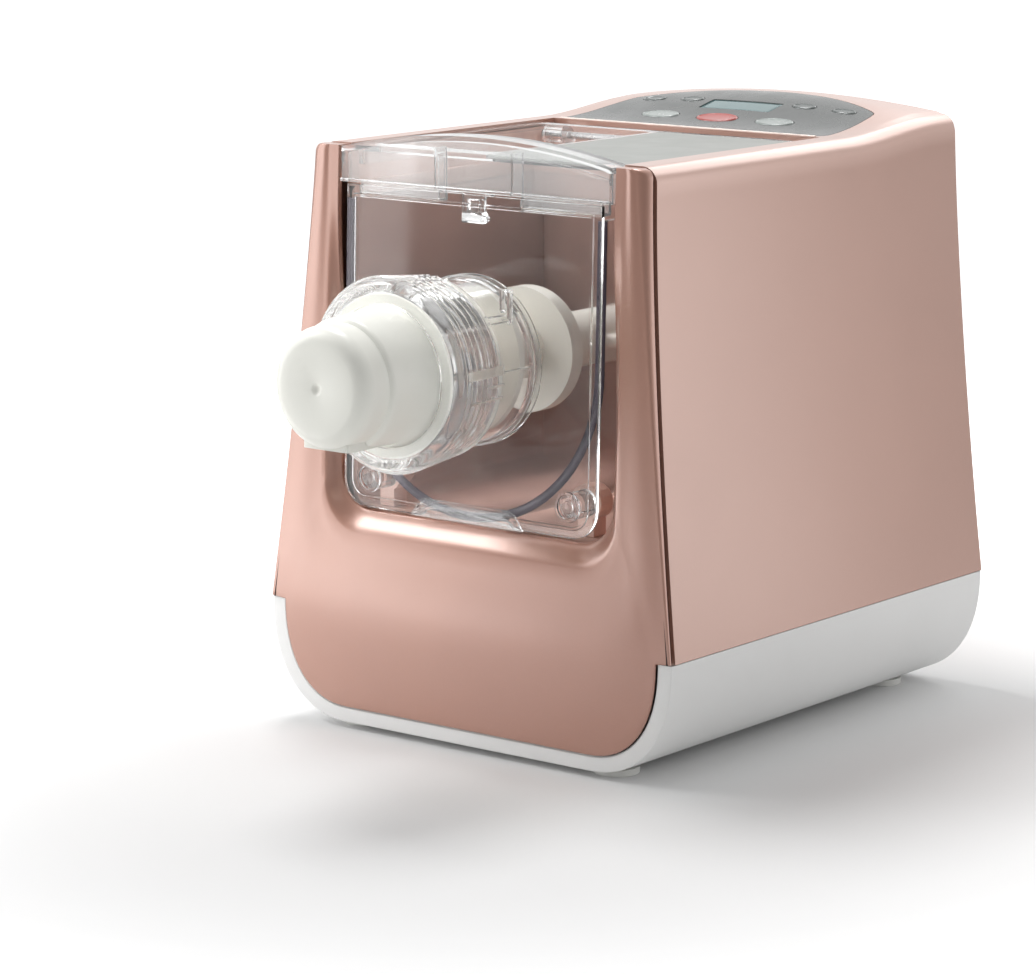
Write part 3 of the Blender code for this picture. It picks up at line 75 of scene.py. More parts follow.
lamps = {
    "cardLeft": {"place": (-0.49, -0.325, 0.33), "aim": (0.01, 0.525, 0.33), "size": (0.38, 0.60), "power": 1.5},
    "cardRight": {"place": (0.509, 0.236, 0.22), "aim": (0.200, -0.157, 0.20), "size": (0.40, 0.40), "power": 0.52},
    "softTop": {"place": (-0.32, 0.10, 1.15), "aim": (0.0, 0.02, 0.1), "size": (0.35, 0.35), "power": 6.4},
    "cardLow": {"place": (-0.30, -0.34, 0.028), "aim": (-0.05, 0.085, 0.036), "size": (0.30, 0.04), "power": 0.10},
    "rimBack": {"place": (0.05, 0.75, 0.75), "aim": (0.03, 0.05, 0.27), "size": (0.70, 0.25), "power": 1.4},
    "keyLeft": {"place": (-0.62, -0.42, 0.80), "aim": (0.0, -0.06, 0.15), "size": (0.35, 0.35), "power": 2.4},
}


def addLamps():
    for name, lamp in lamps.items():
        data = bpy.data.lights.new(name, "AREA")
        data.shape = "RECTANGLE"
        data.size, data.size_y = lamp["size"]
        data.energy = lamp["power"]
        light = bpy.data.objects.new(name, data)
        light.location = lamp["place"]
        aim = Vector(lamp["aim"]) - Vector(lamp["place"])
        light.rotation_euler = aim.to_track_quat("-Z", "Y").to_euler()
        bpy.context.scene.collection.objects.link(light)


backdrop = {"skyLight": 0.44, "floorColor": 0.80, "liftNear": 0.0, "liftFar": 0.80, "nearReach": 0.18,
            "farReach": 0.65, "middle": (-0.02, -0.06, 0.0), "floorSize": 14.0, "dimSide": 0.35,
            "dimFrom": -0.6, "dimTo": 0.4}


def remap(tree, value, fromLow, fromHigh, low, high, smooth=False):
    node = tree.nodes.new("ShaderNodeMapRange")
    if smooth:
        node.interpolation_type = "SMOOTHSTEP"
    for socket, number in (("From Min", fromLow), ("From Max", fromHigh), ("To Min", low), ("To Max", high)):
        node.inputs[socket].default_value = number
    tree.links.new(value, node.inputs["Value"])
    return node.outputs["Result"]


# 1 where the camera or clear plastic looks straight at the background
def seenDirectly(tree, path):
    either = tree.nodes.new("ShaderNodeMath")
    either.operation = "MAXIMUM"
    tree.links.new(path.outputs["Is Camera Ray"], either.inputs[0])
    tree.links.new(path.outputs["Is Transmission Ray"], either.inputs[1])
    return either.outputs[0]


# The backdrop is white behind the machine and dimmer towards the front, which only gloss shows
def addWorld():
    b = backdrop
    world = bpy.data.worlds.new("softRoom")
    bpy.context.scene.world = world
    world.use_nodes = True
    tree = world.node_tree
    tree.nodes.clear()
    out = tree.nodes.new("ShaderNodeOutputWorld")
    path = tree.nodes.new("ShaderNodeLightPath")
    facing = tree.nodes.new("ShaderNodeSeparateXYZ")
    tree.links.new(tree.nodes.new("ShaderNodeTexCoord").outputs["Generated"], facing.inputs[0])
    mirrored = remap(tree, facing.outputs["Y"], b["dimFrom"], b["dimTo"], b["dimSide"], 1.0, smooth=True)
    level = tree.nodes.new("ShaderNodeMix")
    level.inputs[2].default_value = b["skyLight"]
    tree.links.new(path.outputs["Is Glossy Ray"], level.inputs[0])
    tree.links.new(mirrored, level.inputs[3])
    full = tree.nodes.new("ShaderNodeMix")
    full.inputs[3].default_value = 1.0
    tree.links.new(seenDirectly(tree, path), full.inputs[0])
    tree.links.new(level.outputs[0], full.inputs[2])
    glow = tree.nodes.new("ShaderNodeBackground")
    glow.inputs["Color"].default_value = (1.0, 1.0, 1.0, 1.0)
    tree.links.new(full.outputs[0], glow.inputs["Strength"])
    tree.links.new(glow.outputs[0], out.inputs["Surface"])


# Pale floor that keeps the machine's shadow and turns white further out
def addFloor():
    b = backdrop
    bm = bmesh.new()
    bmesh.ops.create_grid(bm, x_segments=1, y_segments=1, size=b["floorSize"] / 2)
    mesh = bpy.data.meshes.new("floor")
    bm.to_mesh(mesh)
    bm.free()
    floor = bpy.data.objects.new("floor", mesh)
    bpy.context.scene.collection.objects.link(floor)
    mat = bpy.data.materials.new("paleFloor")
    mat.use_nodes = True
    tree = mat.node_tree
    tree.nodes.clear()
    out = tree.nodes.new("ShaderNodeOutputMaterial")
    cloth = tree.nodes.new("ShaderNodeBsdfDiffuse")
    cloth.inputs["Color"].default_value = (b["floorColor"], b["floorColor"], b["floorColor"], 1.0)
    glow = tree.nodes.new("ShaderNodeEmission")
    coords = tree.nodes.new("ShaderNodeTexCoord").outputs["Object"]
    reach = tree.nodes.new("ShaderNodeVectorMath")
    reach.operation = "DISTANCE"
    reach.inputs[1].default_value = b["middle"]
    tree.links.new(coords, reach.inputs[0])
    level = remap(tree, reach.outputs["Value"], b["nearReach"], b["farReach"], b["liftNear"], b["liftFar"],
                  smooth=True)
    path = tree.nodes.new("ShaderNodeLightPath")
    lift = tree.nodes.new("ShaderNodeMath")
    lift.operation = "MULTIPLY"
    add = tree.nodes.new("ShaderNodeAddShader")
    tree.links.new(seenDirectly(tree, path), lift.inputs[0])
    tree.links.new(level, lift.inputs[1])
    tree.links.new(lift.outputs[0], glow.inputs["Strength"])
    tree.links.new(cloth.outputs[0], add.inputs[0])
    tree.links.new(glow.outputs[0], add.inputs[1])
    tree.links.new(add.outputs[0], out.inputs["Surface"])
    mesh.materials.append(mat)


addCamera()
addLamps()
addWorld()
addFloor()
bpy.context.scene.view_settings.view_transform = "Standard"
print("camera, lamps and floor ready")


# Material helpers

def startMaterial(name):
    mat = bpy.data.materials.new(name)
    mat.use_nodes = True
    tree = mat.node_tree
    shader = tree.nodes["Principled BSDF"]
    coords = tree.nodes.new("ShaderNodeTexCoord").outputs["Object"]
    return mat, tree, shader, coords


def stretched(tree, coords, scale):
    mapping = tree.nodes.new("ShaderNodeMapping")
    mapping.inputs["Scale"].default_value = scale
    tree.links.new(coords, mapping.inputs["Vector"])
    return mapping.outputs["Vector"]


def addNoise(tree, coords, scale, detail=3.0, rough=0.5):
    noise = tree.nodes.new("ShaderNodeTexNoise")
    noise.inputs["Scale"].default_value = scale
    noise.inputs["Detail"].default_value = detail
    noise.inputs["Roughness"].default_value = rough
    tree.links.new(coords, noise.inputs["Vector"])
    return noise.outputs["Fac"]


def mixTones(tree, factor, first, second):
    node = tree.nodes.new("ShaderNodeMix")
    node.data_type = "RGBA"
    tree.links.new(factor, node.inputs["Factor"])
    for socket, color in ((node.inputs[6], first), (node.inputs[7], second)):
        if isinstance(color, bpy.types.NodeSocket):
            tree.links.new(color, socket)
        else:
            socket.default_value = (*color, 1.0)
    return node.outputs[2]


def addBump(tree, shader, height, strength, distance):
    bump = tree.nodes.new("ShaderNodeBump")
    bump.inputs["Strength"].default_value = strength
    bump.inputs["Distance"].default_value = distance
    tree.links.new(height, bump.inputs["Height"])
    tree.links.new(bump.outputs["Normal"], shader.inputs["Normal"])


# Clear plastic casts only a faint shadow
def letLampsThrough(tree, shader, tint):
    out = tree.nodes["Material Output"]
    through = tree.nodes.new("ShaderNodeBsdfTransparent")
    through.inputs["Color"].default_value = (*tint, 1.0)
    path = tree.nodes.new("ShaderNodeLightPath")
    mix = tree.nodes.new("ShaderNodeMixShader")
    tree.links.new(path.outputs["Is Shadow Ray"], mix.inputs["Fac"])
    tree.links.new(shader.outputs[0], mix.inputs[1])
    tree.links.new(through.outputs[0], mix.inputs[2])
    tree.links.new(mix.outputs[0], out.inputs["Surface"])


# A screen colour from 0 to 255, as the linear one that the shaders take
def tone(red, green, blue):
    return tuple((c / 255 / 12.92) if c / 255 <= 0.04045 else ((c / 255 + 0.055) / 1.055) ** 2.4
                 for c in (red, green, blue))


lacquer = {"rough": 0.36, "smoother": 0.02, "rougher": 0.03, "metal": 0.35, "coatBend": 2.0, "coatRough": 0.29,
           "cloud": 7.0, "flake": 1500.0, "wear": 40.0, "brighter": 1.08, "sparkle": 0.25,
           "grain": 0.012, "grainDeep": 0.0001}


# Rose metal paint with fine flakes under a clear coat
def roseMetal(name, first, second):
    look = lacquer
    mat, tree, shader, coords = startMaterial(name)
    cloud = remap(tree, addNoise(tree, coords, look["cloud"], 2.0), 0.35, 0.65, 0.0, 1.0)
    flake = addNoise(tree, coords, look["flake"], 2.0, 0.6)
    body = mixTones(tree, cloud, first, second)
    bright = tuple(min(c * look["brighter"], 1.0) for c in first)
    sparkle = remap(tree, flake, 0.5, 0.75, 0.0, look["sparkle"])
    tree.links.new(mixTones(tree, sparkle, body, bright), shader.inputs["Base Color"])
    tree.links.new(remap(tree, addNoise(tree, coords, look["wear"]), 0.3, 0.7,
                         look["rough"] - look["smoother"], look["rough"] + look["rougher"]),
                   shader.inputs["Roughness"])
    shader.inputs["Metallic"].default_value = look["metal"]
    shader.inputs["Coat Weight"].default_value = 1.0
    shader.inputs["Coat IOR"].default_value = look["coatBend"]
    shader.inputs["Coat Roughness"].default_value = look["coatRough"]
    addBump(tree, shader, flake, look["grain"], look["grainDeep"])
    return mat


moulding = {"cloud": 14.0, "wear": 60.0, "smoother": 0.05, "rougher": 0.06, "coatRough": 0.12, "grainDeep": 0.0003}


def mouldedPlastic(name, first, second, rough, grain, coat=0.0, scale=700.0):
    look = moulding
    mat, tree, shader, coords = startMaterial(name)
    cloud = remap(tree, addNoise(tree, coords, look["cloud"]), 0.3, 0.7, 0.0, 1.0)
    tree.links.new(mixTones(tree, cloud, first, second), shader.inputs["Base Color"])
    fine = addNoise(tree, coords, scale, 3.0, 0.55)
    tree.links.new(remap(tree, addNoise(tree, coords, look["wear"], 4.0), 0.3, 0.7,
                         rough - look["smoother"], rough + look["rougher"]), shader.inputs["Roughness"])
    shader.inputs["Coat Weight"].default_value = coat
    shader.inputs["Coat Roughness"].default_value = look["coatRough"]
    addBump(tree, shader, fine, grain, look["grainDeep"])
    return mat


turning = {"smoother": 0.06, "rougher": 0.08, "grain": 0.06, "grainDeep": 0.0002}


def turnedMetal(name, first, second, rough=0.28, stretch=(900.0, 40.0, 900.0)):
    look = turning
    mat, tree, shader, coords = startMaterial(name)
    lines = addNoise(tree, stretched(tree, coords, stretch), 1.0, 3.0, 0.6)
    tree.links.new(mixTones(tree, remap(tree, lines, 0.3, 0.7, 0.0, 1.0), first, second),
                   shader.inputs["Base Color"])
    tree.links.new(remap(tree, lines, 0.3, 0.7, rough - look["smoother"], rough + look["rougher"]),
                   shader.inputs["Roughness"])
    shader.inputs["Metallic"].default_value = 1.0
    addBump(tree, shader, lines, look["grain"], look["grainDeep"])
    return mat


clearing = {"cloud": (30.0, 30.0, 30.0), "dust": 0.96, "rougher": 0.06, "rippleDeep": 0.0008}


def clearPlastic(name, tint, shadowTint, rough=0.03, weight=1.0, ripple=0.05, bend=1.46):
    look = clearing
    mat, tree, shader, coords = startMaterial(name)
    cloud = addNoise(tree, stretched(tree, coords, look["cloud"]), 1.0, 3.0, 0.55)
    dusty = tuple(c * look["dust"] for c in tint)
    tree.links.new(mixTones(tree, remap(tree, cloud, 0.4, 0.7, 0.0, 1.0), tint, dusty),
                   shader.inputs["Base Color"])
    tree.links.new(remap(tree, cloud, 0.35, 0.75, rough, rough + look["rougher"]), shader.inputs["Roughness"])
    shader.inputs["Transmission Weight"].default_value = weight
    shader.inputs["IOR"].default_value = bend
    addBump(tree, shader, cloud, ripple, look["rippleDeep"])
    letLampsThrough(tree, shader, shadowTint)
    return mat


roseFinish = roseMetal("roseLacquer", tone(186, 140, 122), tone(181, 135, 117))
# Darker, more saturated copy of the same rose paint for the fascia: painted shade on the front
roseFasciaShaded = roseMetal("roseFasciaShadedLacquer", tone(176, 122, 100), tone(170, 116, 95))
# Lighter copy of the rose paint for the panel's lip: a painted highlight
trimHighlightFinish = roseMetal("roseTrimPaintedHighlight", tone(214, 196, 186), tone(208, 190, 180))
linerFinish = mouldedPlastic("mauveLiner", tone(222, 180, 164), tone(214, 171, 156), 0.38, 0.03, 0.1)
# Dark brown for the strip in the gap beside the fascia: painted shade
grooveShadeFinish = mouldedPlastic("groovePaintedShade", tone(70, 44, 36), tone(60, 38, 32), 0.5, 0.03)
whiteFinish = mouldedPlastic("warmWhiteCasing", tone(236, 236, 235), tone(233, 233, 232), 0.36, 0.01, 0.1)
dieFinish = mouldedPlastic("softWhiteDie", tone(246, 246, 238), tone(243, 243, 235), 0.38, 0.02, 0.1)
greyFinish = mouldedPlastic("greyMoulding", tone(178, 180, 178), tone(168, 170, 168), 0.42, 0.05)
nylonFinish = mouldedPlastic("milkyNylon", tone(236, 233, 224), tone(228, 224, 214), 0.40, 0.04, 0.1)
darkFinish = mouldedPlastic("darkMoulding", tone(44, 44, 47), tone(36, 36, 39), 0.45, 0.08)
rubberFinish = mouldedPlastic("footRubber", tone(54, 54, 54), tone(42, 42, 42), 0.75, 0.15, 0.0, 400.0)
padFinish = mouldedPlastic("palePad", tone(232, 232, 228), tone(226, 226, 222), 0.55, 0.06, 0.0, 400.0)
redFinish = mouldedPlastic("startRed", tone(170, 78, 72), tone(162, 70, 66), 0.28, 0.02, 0.3)
paleKey = mouldedPlastic("paleKey", tone(150, 156, 153), tone(143, 150, 147), 0.28, 0.02, 0.3)
greyKey = mouldedPlastic("greyKey", tone(92, 97, 96), tone(86, 91, 90), 0.25, 0.02, 0.3)
boardFinish = mouldedPlastic("boardGreen", tone(34, 96, 62), tone(26, 82, 52), 0.4, 0.12, 0.2, 300.0)
panelFinish = mouldedPlastic("panelGloss", tone(74, 77, 76), tone(69, 72, 71), 0.26, 0.01, 0.15, 200.0)
displayFinish = mouldedPlastic("displayTeal", tone(92, 120, 121), tone(86, 113, 115), 0.20, 0.01, 0.4, 200.0)
foilFinish = mouldedPlastic("silverPlate", tone(154, 156, 152), tone(148, 150, 146), 0.40, 0.03, 0.0, 900.0)
foilFinish.node_tree.nodes["Principled BSDF"].inputs["Metallic"].default_value = 0.35
steelFinish = turnedMetal("turnedSteel", tone(200, 200, 200), tone(176, 176, 178))
motorFinish = turnedMetal("motorSheet", tone(158, 160, 164), tone(130, 132, 136), 0.40, (40.0, 600.0, 40.0))
clearFinish = clearPlastic("clearPlastic", (0.985, 0.988, 0.988), (0.90, 0.90, 0.90))
nutFinish = clearPlastic("clearNut", (0.985, 0.985, 0.982), (0.88, 0.88, 0.87), 0.03, 0.94, 0.05, 1.30)
nutFinish.node_tree.nodes["Principled BSDF"].inputs["Coat Weight"].default_value = 1.0
lidFinish = clearPlastic("clearLid", (0.985, 0.988, 0.988), (0.90, 0.90, 0.90), 0.03, 0.92, 0.05, 1.44)
paneFinish = clearPlastic("clearPane", (0.985, 0.988, 0.988), (0.90, 0.90, 0.90), 0.02, 1.0, 0.03, 1.36)
bowlFinish = clearPlastic("smokyBowl", (0.98, 0.965, 0.97), (0.94, 0.93, 0.93), 0.05, 1.0, 0.03)
bowlRimFinish = mouldedPlastic("smokyBowlRim", tone(66, 54, 68), tone(58, 47, 61), 0.35, 0.02, 0.0)
print("materials ready")


# Shape helpers

def mixed(first, second, share):
    return first + (second - first) * share


def easeShare(value, start, end):
    share = min(max((value - start) / (end - start), 0.0), 1.0)
    return share * share * (3 - 2 * share)


def halfWidth(z):
    c = casing
    share = min(max((c["topZ"] - z) / (c["topZ"] - c["seamZ"]), 0.0), 1.0)
    return c["topHalf"] + (c["seamHalf"] - c["topHalf"]) * share ** c["flare"]


def coverEdge(z):
    c = casing
    share = max(z - c["seamZ"], 0.0) / (c["topZ"] - c["seamZ"])
    return mixed(c["seamSetback"], c["topSetback"], share)


def frameRound(z):
    c = casing
    share = min(max((z - c["seamZ"]) / (c["topZ"] - c["seamZ"]), 0.0), 1.0)
    return mixed(c["roundSeam"], c["roundTop"], share)


def frameFace(z):
    return coverEdge(z) - casing["groove"] - frameRound(z)


def casingTop(x, y):
    c = casing
    share = easeShare(y, c["riseFrom"], c["riseTo"])
    across = min(abs(x) / (c["topHalf"] - c["corner"] / 2), 1.0)
    return c["topZ"] + c["rearRise"] * share + c["dome"] * share * (1 - across * across)


# Front and rear face of the clear plate, which leans back a little
def plateFront(z):
    return -clear + casing["plateLean"] * (z - casing["plateBottom"])


def plateRear(z):
    return plateFront(z) + casing["plateThick"]


# A grid whose points go where spot(column, row) says
def loft(bm, columns, rows, spot):
    made = bmesh.ops.create_grid(bm, x_segments=columns, y_segments=rows, size=0.5)
    for vert in made["verts"]:
        column = round((vert.co.x + 0.5) * columns)
        row = round((vert.co.y + 0.5) * rows)
        vert.co = spot(column, row)


# Spins a profile of (y, radius) points about a line along Y
def turned(bm, profile, height, steps=96, side=0.0, closed=True):
    verts = [bm.verts.new((side, y, height + radius)) for y, radius in profile]
    pairs = list(zip(verts, verts[1:])) + ([(verts[-1], verts[0])] if closed else [])
    edges = [bm.edges.new(pair) for pair in pairs]
    bmesh.ops.spin(bm, geom=verts + edges, cent=(side, 0.0, height), axis=(0.0, 1.0, 0.0),
                   angle=fullTurn, steps=steps, use_merge=True)
    bmesh.ops.remove_doubles(bm, verts=bm.verts, dist=tiny)
    bmesh.ops.recalc_face_normals(bm, faces=bm.faces)


# A round bar along X
def crossBar(bm, radius, length, middle, segments):
    bmesh.ops.create_cone(bm, cap_ends=True, segments=segments, radius1=radius, radius2=radius, depth=length,
                          matrix=Matrix.Translation(middle) @ Matrix.Rotation(math.pi / 2, 4, "Y"))


# A box between two corners, with rounded edges along one axis or all of them
def block(bm, low, high, corner=0.0, along=None, steps=5):
    made = bmesh.ops.create_cube(bm, size=1.0)
    size = Vector(high) - Vector(low)
    middle = (Vector(high) + Vector(low)) / 2
    bmesh.ops.scale(bm, vec=size, verts=made["verts"])
    bmesh.ops.translate(bm, vec=middle, verts=made["verts"])
    if corner:
        edges = {edge for vert in made["verts"] for edge in vert.link_edges}
        chosen = [edge for edge in edges if along is None
                  or abs((edge.verts[0].co - edge.verts[1].co).normalized()[along]) > 0.99]
        bmesh.ops.bevel(bm, geom=chosen, offset=corner, segments=steps, affect="EDGES",
                        profile=0.5, material=-1, clamp_overlap=True)


def pushOut(bm, faces, push):
    grown = bmesh.ops.extrude_face_region(bm, geom=faces)
    bmesh.ops.translate(bm, verts=[g for g in grown["geom"] if isinstance(g, bmesh.types.BMVert)], vec=push)
    bmesh.ops.recalc_face_normals(bm, faces=bm.faces)


# A flat outline pushed from low to high along one axis
def slab(bm, outline, axis, low, high):
    verts = []
    for first, second in outline:
        point = [first, second]
        point.insert(axis, low)
        verts.append(bm.verts.new(point))
    push = [0.0, 0.0, 0.0]
    push[axis] = high - low
    pushOut(bm, [bm.faces.new(verts)], push)


# Turns a shape about Y and lifts it onto the nozzle's axis
def aroundAxis(bm, degrees):
    bmesh.ops.rotate(bm, cent=(0, 0, 0), matrix=Matrix.Rotation(math.radians(degrees), 3, "Y"), verts=bm.verts)
    bmesh.ops.translate(bm, verts=bm.verts, vec=(0.0, 0.0, casing["axisZ"]))


# The two points at which an open line of edges ends
def lineEnds(line):
    return [vert for vert in {vert for edge in line for vert in edge.verts}
            if sum(1 for edge in vert.link_edges if edge in line) == 1]


# Closes a bent shell at the given places along Y, then the rims that are left open
def closeShell(bm, places):
    for y in places:
        line = [edge for edge in bm.edges if edge.is_boundary and all(abs(v.co.y - y) < tiny for v in edge.verts)]
        across = bm.edges.new(lineEnds(line))
        bmesh.ops.contextual_create(bm, geom=line + [across])
    bmesh.ops.holes_fill(bm, edges=[edge for edge in bm.edges if edge.is_boundary], sides=0)
    bmesh.ops.recalc_face_normals(bm, faces=bm.faces)


def arcPoints(centre, radius, start, end, steps):
    return [(centre[0] + radius * math.cos(math.radians(mixed(start, end, i / steps))),
             centre[1] + radius * math.sin(math.radians(mixed(start, end, i / steps))))
            for i in range(steps + 1)]


def roundedOutline(low, high, radius, steps=6):
    outline = arcPoints((high[0] - radius, high[1] - radius), radius, 0, 90, steps)
    outline += arcPoints((low[0] + radius, high[1] - radius), radius, 90, 180, steps)
    outline += arcPoints((low[0] + radius, low[1] + radius), radius, 180, 270, steps)
    return outline + arcPoints((high[0] - radius, low[1] + radius), radius, 270, 360, steps)


def ovalOutline(centre, radii, steps=48):
    return [(centre[0] + radii[0] * math.cos(fullTurn * i / steps),
             centre[1] + radii[1] * math.sin(fullTurn * i / steps)) for i in range(steps)]


def rawPiece(name, bm):
    bmesh.ops.translate(bm, verts=bm.verts, vec=(0.0, frontY, 0.0))
    mesh = bpy.data.meshes.new(name)
    bm.to_mesh(mesh)
    bm.free()
    piece = bpy.data.objects.new(name, mesh)
    bpy.context.scene.collection.objects.link(piece)
    return piece


def blockPiece(name, low, high, corner=0.0, along=None, steps=5):
    bm = bmesh.new()
    block(bm, low, high, corner, along, steps)
    return rawPiece(name, bm)


def slabPiece(name, outline, axis, low, high):
    bm = bmesh.new()
    slab(bm, outline, axis, low, high)
    return rawPiece(name, bm)


def turnedPiece(name, profile, height, steps=96, side=0.0, closed=True):
    bm = bmesh.new()
    turned(bm, profile, height, steps, side, closed)
    return rawPiece(name, bm)


# A cylinder on the nozzle's axis, to cut a hole with
def boreTool(low, high, radius, steps=48):
    return turnedPiece("bore", [(low, 0.0), (low, radius), (high, radius), (high, 0.0)], casing["axisZ"], steps,
                       closed=False)


# A bar along X through the whole lid and liner, to cut the pin's hole with
def barTool(radius, middle):
    bm = bmesh.new()
    crossBar(bm, radius, 0.2, middle, 24)
    return rawPiece("pin", bm)


# Joins, cuts or trims a piece with other shapes, then drops those
def combine(piece, tools, operation="DIFFERENCE"):
    for tool in tools:
        change = piece.modifiers.new("change", "BOOLEAN")
        change.operation = operation
        change.solver = "EXACT"
        change.object = tool
    applyAll(piece)
    for tool in tools:
        bpy.data.objects.remove(tool, do_unlink=True)


def applyAll(piece):
    bpy.context.view_layer.update()
    shown = piece.evaluated_get(bpy.context.evaluated_depsgraph_get())
    mesh = bpy.data.meshes.new_from_object(shown)
    piece.modifiers.clear()
    old = piece.data
    piece.data = mesh
    bpy.data.meshes.remove(old)
    piece.data.name = piece.name


# Gives an open sheet its wall, on the side that its faces look away from
def addWall(piece, thick):
    wall = piece.modifiers.new("wall", "SOLIDIFY")
    wall.thickness = thick
    wall.offset = -1.0


def soften(piece, width, segments, angle):
    edge = piece.modifiers.new("softEdges", "BEVEL")
    edge.width = width
    edge.segments = segments
    edge.limit_method = "ANGLE"
    edge.angle_limit = math.radians(angle)
    edge.harden_normals = True
    edge.use_clamp_overlap = True


def finishPiece(piece, body, slot, material, stands=(), edge=0.0, segments=3, angle=40):
    mesh = piece.data
    mesh.materials.clear()
    mesh.materials.append(material)
    mesh.shade_smooth()
    if edge:
        soften(piece, edge, segments, angle)
    else:
        mesh.set_sharp_from_angle(angle=math.radians(angle))
    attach(piece, body)
    if stands:
        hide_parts(*stands)
    return piece


# Turns an open sheet so that its faces look away from a point
def faceOut(bm, towards):
    bmesh.ops.recalc_face_normals(bm, faces=bm.faces)
    bm.faces.ensure_lookup_table()
    bm.normal_update()
    votes = sum(1 if (face.calc_center_median() - Vector(towards)).dot(face.normal) > 0 else -1
                for face in bm.faces)
    if votes < 0:
        bmesh.ops.reverse_faces(bm, faces=bm.faces)


# Side and top cover

cover = {"sideSteps": 36, "arcSteps": 12, "railSteps": 4, "topSteps": 16, "wellHalf": 0.078,
         "wellEnd": 0.1644, "wellDeep": 0.001, "arcFrom": 6, "frontRows": 20, "rearRows": 40, "edge": 0.0009,
         "inside": (0.0, 0.12, 0.15)}

panel = {"half": 0.076, "front": 0.1672, "sideRear": 0.222, "rear": 0.244, "rearHalf": 0.070,
         "corner": 0.008, "bow": (0.3, 0.8), "rearPower": 0.8, "thick": 0.0023, "opening": (0.262, 0.300),
         "cut": (0.25, 0.30), "sheetHalf": 0.082, "sheetFront": 0.160, "sheetRear": 0.250,
         "inside": (0.0, 0.2, 0.1)}


# The panel's rounded outline, grown by a gap where it cuts the cover
def panelOutline(grow):
    p = panel
    side, front, rearSide = p["half"] + grow, p["front"] - grow, p["rearHalf"] + grow
    points = arcPoints((side - p["corner"], front + p["corner"]), p["corner"], -90, 0, 10)
    bulge = [(side, front + p["corner"]),
             (mixed(side, rearSide, p["bow"][0]), mixed(p["front"], p["sideRear"], p["bow"][1])),
             (rearSide, p["sideRear"] + grow)]
    for i in range(1, 9):
        share = i / 9
        x = (1 - share) ** 2 * bulge[0][0] + 2 * share * (1 - share) * bulge[1][0] + share ** 2 * bulge[2][0]
        y = (1 - share) ** 2 * bulge[0][1] + 2 * share * (1 - share) * bulge[1][1] + share ** 2 * bulge[2][1]
        points.append((x, y))
    for i in range(0, 24):
        share = i / 24
        points.append((rearSide * (1 - share), p["sideRear"] + grow
                       + (p["rear"] - p["sideRear"]) * math.sin(math.pi / 2 * share) ** p["rearPower"]))
    points.append((0.0, p["rear"] + grow))
    return points + [(-x, y) for x, y in reversed(points[:-1])]


def coverColumns():
    c = casing
    columns = [("side", mixed(c["seamZ"] + clear, c["topZ"] - c["corner"], i / cover["sideSteps"]))
               for i in range(cover["sideSteps"] + 1)]
    columns += [("arc", mixed(cover["arcFrom"], 90, i / cover["arcSteps"]))
                for i in range(1, cover["arcSteps"] + 1)]
    inner = c["topHalf"] - c["corner"]
    columns += [("top", mixed(inner, cover["wellHalf"], i / cover["railSteps"]))
                for i in range(1, cover["railSteps"] + 1)]
    columns += [("top", cover["wellHalf"] * (1 - i / cover["topSteps"])) for i in range(1, cover["topSteps"] + 1)]
    return columns


def coverSpot(kind, value, share):
    c = casing
    if kind == "side":
        y = mixed(coverEdge(value), c["depth"], share)
        lift = casingTop(c["topHalf"], y) - c["topZ"]
        return halfWidth(value), y, value + lift * easeShare(value, c["seamZ"], c["topZ"] - c["corner"])
    y = mixed(coverEdge(c["topZ"]), c["depth"], share)
    if kind == "arc":
        centre = (c["topHalf"] - c["corner"], casingTop(c["topHalf"], y) - c["corner"])
        turn = math.radians(value)
        return centre[0] + c["corner"] * math.cos(turn), y, centre[1] + c["corner"] * math.sin(turn)
    return value, y, casingTop(value, y)


# One bent sheet from seam to seam, with the well and the panel's opening cut out
def makeCover():
    half = coverColumns()
    signs = [(kind, value, 1) for kind, value in half] + [(kind, value, -1) for kind, value in half[-2::-1]]
    wellShare = (cover["wellEnd"] - coverEdge(casing["topZ"])) / (casing["depth"] - coverEdge(casing["topZ"]))
    shares = [wellShare * i / cover["frontRows"] for i in range(cover["frontRows"])]
    shares += [mixed(wellShare, 1.0, i / cover["rearRows"]) for i in range(cover["rearRows"] + 1)]
    bm = bmesh.new()

    def spot(column, row):
        kind, value, sign = signs[column]
        x, y, z = coverSpot(kind, value, shares[row])
        return sign * x, y, z

    loft(bm, len(signs) - 1, len(shares) - 1, spot)
    hollow = [face for face in bm.faces
              if abs(face.calc_center_median().x) < cover["wellHalf"]
              and face.calc_center_median().y < cover["wellEnd"]
              and face.calc_center_median().z > casing["topZ"] - cover["wellDeep"]]
    bmesh.ops.delete(bm, geom=hollow, context="FACES")
    faceOut(bm, cover["inside"])
    piece = rawPiece("coverShell", bm)
    addWall(piece, casing["wall"])
    applyAll(piece)
    combine(piece, [slabPiece("panelOpening", panelOutline(clear), 2, *panel["opening"])])
    finishPiece(piece, "casing", "rose_metal", roseFinish, ("outer_cover",), edge=cover["edge"], angle=55)


makeCover()
print("cover made")


# White base tray

tray = {"footZ": 0.003, "wall": 0.003, "flat": 0.070, "power": 2.3, "front": -0.0018, "rim": 0.008,
        "rimDrop": 0.0072, "rimDepth": 0.006, "soft": 0.0007, "softShare": 0.3, "rearSoft": 0.001,
        "steps": 26, "floorSteps": 6}


# Right half of the tray's section, from the seam down to the flat floor
def traySection(inset, lift, steps):
    floor = tray["footZ"] + clear
    points = []
    for i in range(steps + 1):
        turn = math.pi / 2 * i / steps
        across = math.cos(turn) ** (2 / tray["power"]) if i < steps else 0.0
        down = math.sin(turn) ** (2 / tray["power"])
        points.append((tray["flat"] + (casing["seamHalf"] - tray["flat"] - inset) * across,
                       casing["seamZ"] - (casing["seamZ"] - floor - lift) * down))
    return points


